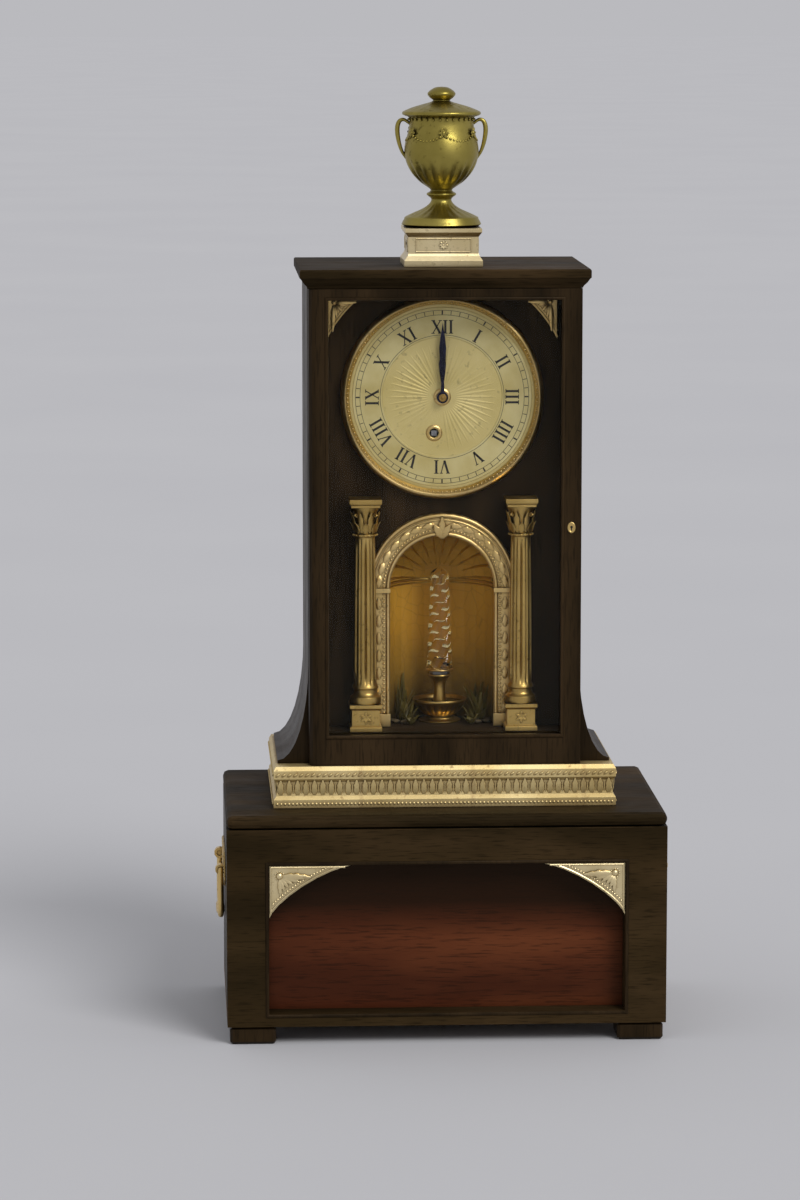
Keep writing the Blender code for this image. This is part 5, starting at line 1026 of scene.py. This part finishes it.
def dress_handles():
    """Drop handles that swell to a turned grip, and backplates with a beaded rim, leaves and screws."""
    wire, plate_thick, screw_reach, bead_pitch, ear_half, ear_rise = 2.1, 1.3, 24, 2.2, 5.5, 4
    plate_face = box("base_right_side")[1].x + plate_thick
    for name, side in SIDES:
        low, high = box(f"handle_{name}")
        x, top = (low.x + high.x) / 2, high.z - wire
        half, bottom = high.y - wire, low.z + wire
        corner = (top - bottom) / 3
        leg = [(half - 7.5, top), (half - 4, top), (half - 0.6, top - 0.05), (half, top - 1.2)]
        leg += [(half, z) for z in np.linspace(top - 3, bottom + corner + 1, 8)]
        turn = np.linspace(0, -pi / 2, 14)
        bend = np.array((half - corner, bottom + corner)) + corner * rays(turn, (1, 0), (0, 1))
        grip = [(y, bottom) for y in np.linspace(half - corner, 0, 30)[1:]]
        flat = np.concatenate((leg, bend, grip))
        y, z = np.concatenate((flat, flat[-2::-1] * (-1, 1))).T
        away = np.abs(y) / half
        swell = 0.35 * np.cos(np.clip(away / 0.55, 0, 1) * pi / 2)
        collars = 0.28 * np.exp(-(((away - 0.30) / 0.035) ** 2))
        collars += 0.22 * np.exp(-(((away - 0.05) / 0.03) ** 2))
        sizes = 0.97 + np.clip((top - 6 - z) / 10, 0, 1) * (0.08 + swell + collars)
        forms = [swept(np.stack((0 * y + x, y, z), -1), round_section(wire, 14), RIGHT, sizes)]
        bail = piece(f"handle_{name}_bail", forms, GILT, f"{name}_handle", sharp=50)
        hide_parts(f"handle_{name}")

        mount_low, mount_high = box(f"handle_mount_{name}")
        rim = (mount_high.z - mount_low.z) / 2
        straight = (mount_high.y - mount_low.y) / 2 - rim
        centre = np.array((side * plate_face, 0, (mount_high.z + mount_low.z) / 2))
        out, turn = RIGHT * side, even(240)
        ends = (np.sign(np.cos(turn)) * straight)[:, None] * BACK
        outline = centre + rays(turn, BACK) * (rim - 1.5) + ends
        run = np.cumsum(np.linalg.norm(np.diff(outline, axis=0, append=outline[:1]), axis=1))
        places = np.arange(0, run[-1], bead_pitch)
        at = np.stack([np.interp(places, run, np.roll(outline[:, k], -1)) for k in range(3)], -1)
        clear = (np.abs(np.abs(at[:, 1]) - half) > ear_half) | (at[:, 2] > top + ear_rise)
        turns = even(8)
        lengths = np.where(np.abs(np.cos(turns)) > 0.99, 15.5, 8.2)
        forms = [laid(ball(0.75, 4, 6, 0.9), at[clear], UP, out)]
        shapes = [leaf(long, 4.6, 0.35, 0.2, 3, 12, 9, 0.12) for long in lengths]
        forms += fan(centre, out, turns, shapes, 2.2)
        forms.append(laid(ball(2.4, 7, 12, 0.45), centre, UP, out))
        piece(f"handle_{name}_plate_leaves", forms, GILT)
        screws = [slotted_screw(centre + BACK * end * screw_reach, out, 2.3, 0.8) for end in (-1, 1)]
        piece(f"handle_{name}_plate_screws", sum(screws, []), BRASS, sharp=30)


def dress_niche():
    """A fluted shell in the half dome with a moulding at its spring, and leaves and stones at its foot."""
    low, high = box("scene_niche")
    radius = high.x - 2
    axis = np.array((0.0, low.y, ARCH_SPRING[2]))
    forms, steps = [], 18
    fall = np.linspace(0.16, pi / 2 - 0.03, steps)
    for way in rays(np.linspace(0.10, pi - 0.10, 12)):
        path = axis + (radius - 0.3) * rays(fall, BACK, way)
        forms.append(swept(path, round_section(1.0, 8), BACK, np.linspace(0.4, 1.5, steps)))
    spring = axis + (radius - 0.4) * rays(np.linspace(0.03, pi - 0.03, 40), RIGHT, BACK)
    for drop, thick in ((0.0, 1.1), (2.6, 0.6)):
        forms.append(swept(spring - UP * drop, round_section(thick, 8), UP))
    shell_root = axis + BACK * (radius - 1.2)
    forms += fan(shell_root, FRONT, np.linspace(0.25, pi - 0.25, 7), leaf(8, 3.6, 0.8, 1.4, 2, 10, 8))
    piece("niche_shell", forms, GILT_SHADED)

    rng = np.random.default_rng(7)
    # Tufts are (x, y, height, leaves) and stones (x, y, radius), mirrored from side to side
    tufts = (
        (25.5, -12, 17, 8), (30.5, -9, 25, 8), (31.5, 0, 30, 8), (27.5, 8, 34, 7), (22.5, -19.5, 10, 7),
    )
    pebbles = ((23, -16, 2.6), (27, -15, 3.4), (34, -12, 3.0), (36, -5, 2.4), (22, 12, 2.4))
    leaves, stones = [], []
    for side in (-1, 1):
        for x, y, tall, count in tufts:
            root = np.array((side * x, y, low.z))
            for k in range(count):
                turn = tau * (k + rng.random() * 0.6) / count
                lean = 0.30 + 0.25 * rng.random()
                out = rays(turn, RIGHT, BACK)
                tip = (root + out * (2 + tall * lean) - axis) * (1, 1, 0)
                if np.linalg.norm(tip) > radius - 3:
                    lean = -0.12
                hides_rod = tall > 18 and abs(root[0] + out[0] * tall * lean) < 17
                if hides_rod:
                    continue
                along = unit(UP + out * lean)
                face = unit(np.cross(np.cross(along, out), along))
                blade = leaf(tall * (0.7 + 0.4 * rng.random()), 4.2, 0.3, 2.2, 3, 10, 7, 0.10)
                leaves.append(laid(blade, root + out * 1.2, along, face))
        for x, y, size in pebbles:
            stone = ball(size, 9, 14, 0.62)
            wave = np.sin(stone * (1.9, 1.6, 2.3) + (x, y, 0)).sum(-1, keepdims=True)
            stones.append(stone * (1 + 0.09 * wave) + np.array((side * x, y, low.z + size * 0.35)))
    piece("niche_foliage", leaves, FOLIAGE)
    piece("niche_stones", stones, STONE)


def dress_fountain():
    """The ribbed basin with its water, and the glass rod with smooth twisted flutes and a gilt collar."""
    low, high = box("fountain_basin")
    floor, top, radius = low.z, high.z, high.x
    rim, stem, hole = floor + 17, 8.5, 1.8
    outside = (
        (radius - 1.8, rim - 0.3), (radius - 1.2, rim), (radius - 0.3, rim), (radius, rim - 0.7),
        (radius - 0.2, rim - 1.9), (radius * 0.95, rim - 2.8), (radius * 0.92, rim - 4.4),
        (radius * 0.84, rim - 7.2), (radius * 0.70, rim - 10.4), (radius * 0.54, rim - 12.4),
        (radius * 0.50, rim - 13.2), (radius * 0.56, rim - 14.0), (radius * 0.58, rim - 14.7),
        (radius * 0.72, rim - 15.6), (radius * 0.78, rim - 16.2),
    )
    inside = (
        (radius * 0.78, floor), (hole, floor), (hole, top), (stem * 0.97, top), (stem, top - 0.8),
        (stem * 0.93, top - 1.8), (stem * 0.72, top - 3.4), (stem * 0.56, top - 6.2),
        (stem * 0.50, top - 10), (stem * 0.54, top - 16), (stem * 0.62, rim - 8.5),
        (radius * 0.55, rim - 10.6), (radius * 0.78, rim - 5.4), (radius - 2.4, rim - 1.6),
    )

    def ribs(turn, z):
        """Round ribs on the bowl's outside, which fade towards its rim and foot."""
        run = np.interp(rim - z, (3, 4, 11.2, 12.2), HUMP)
        return 1 - 0.07 * run * (1 - np.abs(np.sin(turn * 10)))

    bowl = np.concatenate((lathe(outside, 120, radius=ribs), lathe(inside, 120)))
    basin = piece("fountain_basin_bowl", [ring(bowl)], GILT_SHADED)
    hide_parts("fountain_basin")
    steps = np.linspace(stem * 0.7, radius - 2.6, 18)
    waves = rim - 2.6 + 0.18 * np.cos((steps - steps[0]) / 2.4 * tau)
    section = [*zip(steps, waves), *zip(steps[::-1], waves[::-1] - 1.2)]
    piece("fountain_basin_water", [ring(lathe(section, 72))], WATER)

    low, high = box("fountain_rod")
    tall, radius, tip = high.z - low.z, 10, 0.93
    dome = tip + (1 - tip) * np.sin(np.linspace(0, pi / 2, 9)[1:])
    up = np.concatenate((np.linspace(0, tip, 60), dome))[:, None]
    turn = even(80)[None, :]
    taper = (1 - 0.32 * up) * np.sqrt(np.clip(1 - (np.clip(up - tip, 0, 1) / 0.0702) ** 2, 0.0004, 1))
    flute = 0.19 * (np.abs(np.cos(2.5 * turn)) ** 0.8 - 1)
    away = radius * taper * (1 + flute)
    twist = turn + radians(400) * up
    rod = away[..., None] * rays(twist, RIGHT, BACK) + UP * (low.z + tall * up[..., None])
    glass_rod = piece("fountain_rod_twist", [rod], ROD_GLASS, "fountain")
    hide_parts("fountain_rod")
    collar = ((6.0, 0.2), (9.9, 0.2), (10.3, 0.9), (9.9, 1.6), (9.4, 1.9), (6.0, 1.9))
    piece("fountain_collar", [ring(lathe(collar, 48, (0, 0, low.z)))], GILT, "fountain")


def dress_front_door():
    """A half-round bead in the door's window and on the base's recess, and a small oval keyhole rim
    with a near-black solid in it that paints the shadow in the keyhole's opening.
    """
    low, high = box("front_door_frame")
    base_front = box("base_front_frame")[0].y
    window = (-86, 86, 225.8, 548.8)
    recess = (-132, 132, 23, 135)
    reach = 1.3
    for name, edges, y, body in (
        ("door_window_bead", window, low.y, "front_door"),
        ("base_recess_bead", recess, base_front, "case"),
    ):
        bead = frame_bead(*edges, y, FRONT, reach, reach, 0.8 * reach)
        piece(name, [bead], EBONY_UP, body, 50)
    at = np.array((93.6, low.y, (low.z + high.z) / 2))
    rim = ((0.1, 0.5), (1.9, 0.5), (2.4, 0.8), (2.9, 0.6), (3.1, 0), (0.1, 0))
    plate = lathe(rim, 40, axis=FRONT) * (1, 1, 1.4) + at
    piece("door_keyhole_plate", [plate], GILT, "front_door")
    # Painted shadow: a near-black solid fills the keyhole and its slot, where the opening is in shade
    proud = 0.62
    hole = [(0.1, proud), (0.9, proud), (0.9, 0), (0.1, 0)]
    slot = block(at + (-0.4, -proud, -2.2), at + (0.4, 0, 0))
    piece("door_keyhole", [lathe(hole, 20, at + UP * 0.4, FRONT), slot], SHADOW, "front_door", sharp=30)


def dress_hands():
    """A turned brass boss with a domed pin in front of the minute hand."""
    at = np.array((0, box("minute_hand")[0].y, DIAL_CENTRE[2]))
    boss = ((0.1, 1.5), (0.9, 1.35), (1.2, 0.9), (1.25, 0.7), (2.6, 0.6), (2.9, 0.3), (2.9, 0), (0.1, 0))
    piece("minute_hand_boss", [lathe(boss, 36, at, FRONT)], BRASS, "centre")


def dress_pendulum():
    """A boss and three turned rings on the back of the pendulum's bob."""
    low, high = box("pendulum")
    radius, bob_back = (high.x - low.x) / 2, 34
    centre = np.array((0.0, bob_back, low.z + radius))
    steps = [(0.1, 1.3), (3, 1.1), (4.6, 0.3)]
    for middle in (7.5, 13.0, 18.5):
        steps += [(middle - 1.2, 0.25), (middle - 0.5, 0.9), (middle + 0.5, 0.9), (middle + 1.2, 0.25)]
    steps += [(radius - 1.0, 0.2), (radius - 0.6, 0), (0.1, 0)]
    piece("pendulum_bob_rings", [lathe(steps, 96, centre, BACK)], BRASS, "swinger")


def dress_back():
    """Raised frames and brass finger cups on the rear doors, and screws and oil sinks in the back plate."""
    cup = ((8.0, 0.1), (8.0, -2.6), (7.4, -2.6), (7.4, 0.5), (8.4, 0.9), (9.8, 0.5), (10.2, 0.1))
    border, lip, reach = 8, 6, 1.6
    for name, body, look in (
        ("case_rear_door", "upper_rear_door", OAK_UP),
        ("base_rear_door", "lower_rear_door", OAK_ACROSS),
    ):
        low, high = box(name)
        edges = (low.x + border, high.x - border, low.z + border + lip, high.z - border - lip)
        bead = frame_bead(*edges, high.y, BACK, reach, 0.0, 0.9 * reach)
        piece(f"{name}_bead", [bead], look, body, 50)
        at = (high.x - 22, high.y, (low.z + high.z) / 2)
        piece(f"{name}_finger_cup", [ring(lathe(cup, 48, at, BACK))], BRASS, body)

    low, high = box("back_plate")
    plate_back, inset = 20.5, 6
    screws = []
    for k, (a, b) in enumerate(CORNERS):
        at = ((high if a > 0 else low).x - a * inset, plate_back, (high if b > 0 else low).z - b * inset)
        screws += slotted_screw(at, BACK, 3.4, 1.5, 0.4 + k * 1.1)
    piece("back_plate_screws", screws, BLUED, sharp=30)
    rim = ((0.8, 0), (0.8, 0.12), (1.7, 0.35), (2.2, 0.3), (2.4, 0))
    sinks = []
    for name in ("great_wheel", "centre_wheel", "third_wheel", "escape_wheel"):
        low, high = box(name)
        at = ((low.x + high.x) / 2, plate_back, (low.z + high.z) / 2)
        sinks.append(ring(lathe(rim, 32, at, BACK)))
    piece("back_plate_oil_sinks", sinks, BRASS)


def dress_music():
    """Round skins on the music's cylinder and barrel, fine pins, and screws in the comb and bedplate."""
    low, high = box("music_comb")
    barrel_low, barrel_high = box("music_barrel")
    cylinder = np.array((0.0, 0.0, (low.z + high.z) / 2))
    barrel = np.array((0.0, (barrel_low.y + barrel_high.y) / 2, (barrel_low.z + barrel_high.z) / 2))
    left, right, drum, edge = low.x - 3.8, high.x + 3.8, 18.25, 0.3
    for name, centre, start, end, reach, body in (
        ("cylinder_skin", cylinder, left, right, drum, "cylinder"),
        ("music_barrel_skin", barrel, -93.3, -75.2, 22.2, "barrel"),
    ):
        section = [(reach - 4 * edge, start), (reach - edge, start), (reach, start + edge)]
        section += [(reach, end - edge), (reach - edge, end), (reach - 4 * edge, end)]
        piece(name, [ring(lathe(section, 96, centre, RIGHT, UP))], BRASS, body)

    rng = np.random.default_rng(11)
    tracks, steps = 36, 96
    track, step = np.argwhere(rng.random((tracks, steps)) < 0.16).T
    out = rays(step * tau / steps, UP, BACK)
    x = left + 4 + (right - left - 8) * (track + 0.5) / tracks
    at = cylinder + x[:, None] * RIGHT + out * (drum - 0.1)
    pin = lathe([(0.22, 0.0), (0.16, 0.7)], 4)
    piece("cylinder_pins", [laid(pin, at, np.cross(out, RIGHT), out)], STEEL, "cylinder", 30)

    screws = []
    for k, share in enumerate((0.12, 0.5, 0.88)):
        at = (low.x + (high.x - low.x) * share, low.y + 4.2, high.z)
        screws += slotted_screw(at, UP, 2.7, 1.5, 0.3 + k * 1.3)
    low, high = box("music_bedplate")
    for k, (a, b) in enumerate(CORNERS):
        at = ((high if a > 0 else low).x * 0.93, (high if b > 0 else low).y * 0.87, low.z + 5)
        screws += slotted_screw(at, UP, 2.4, 1.2, 0.9 + k * 0.8)
    piece("music_screws", screws, BLUED, sharp=30)


stand_camera()
light_studio()
paint_solids()
dress_urn()
dress_urn_pedestal()
dress_dial()
dress_bezel()
dress_columns()
dress_arch()
dress_case_spandrels()
dress_base_spandrels()
dress_foot_moulding()
dress_handles()
dress_niche()
dress_fountain()
dress_front_door()
dress_hands()
dress_pendulum()
dress_back()
dress_music()
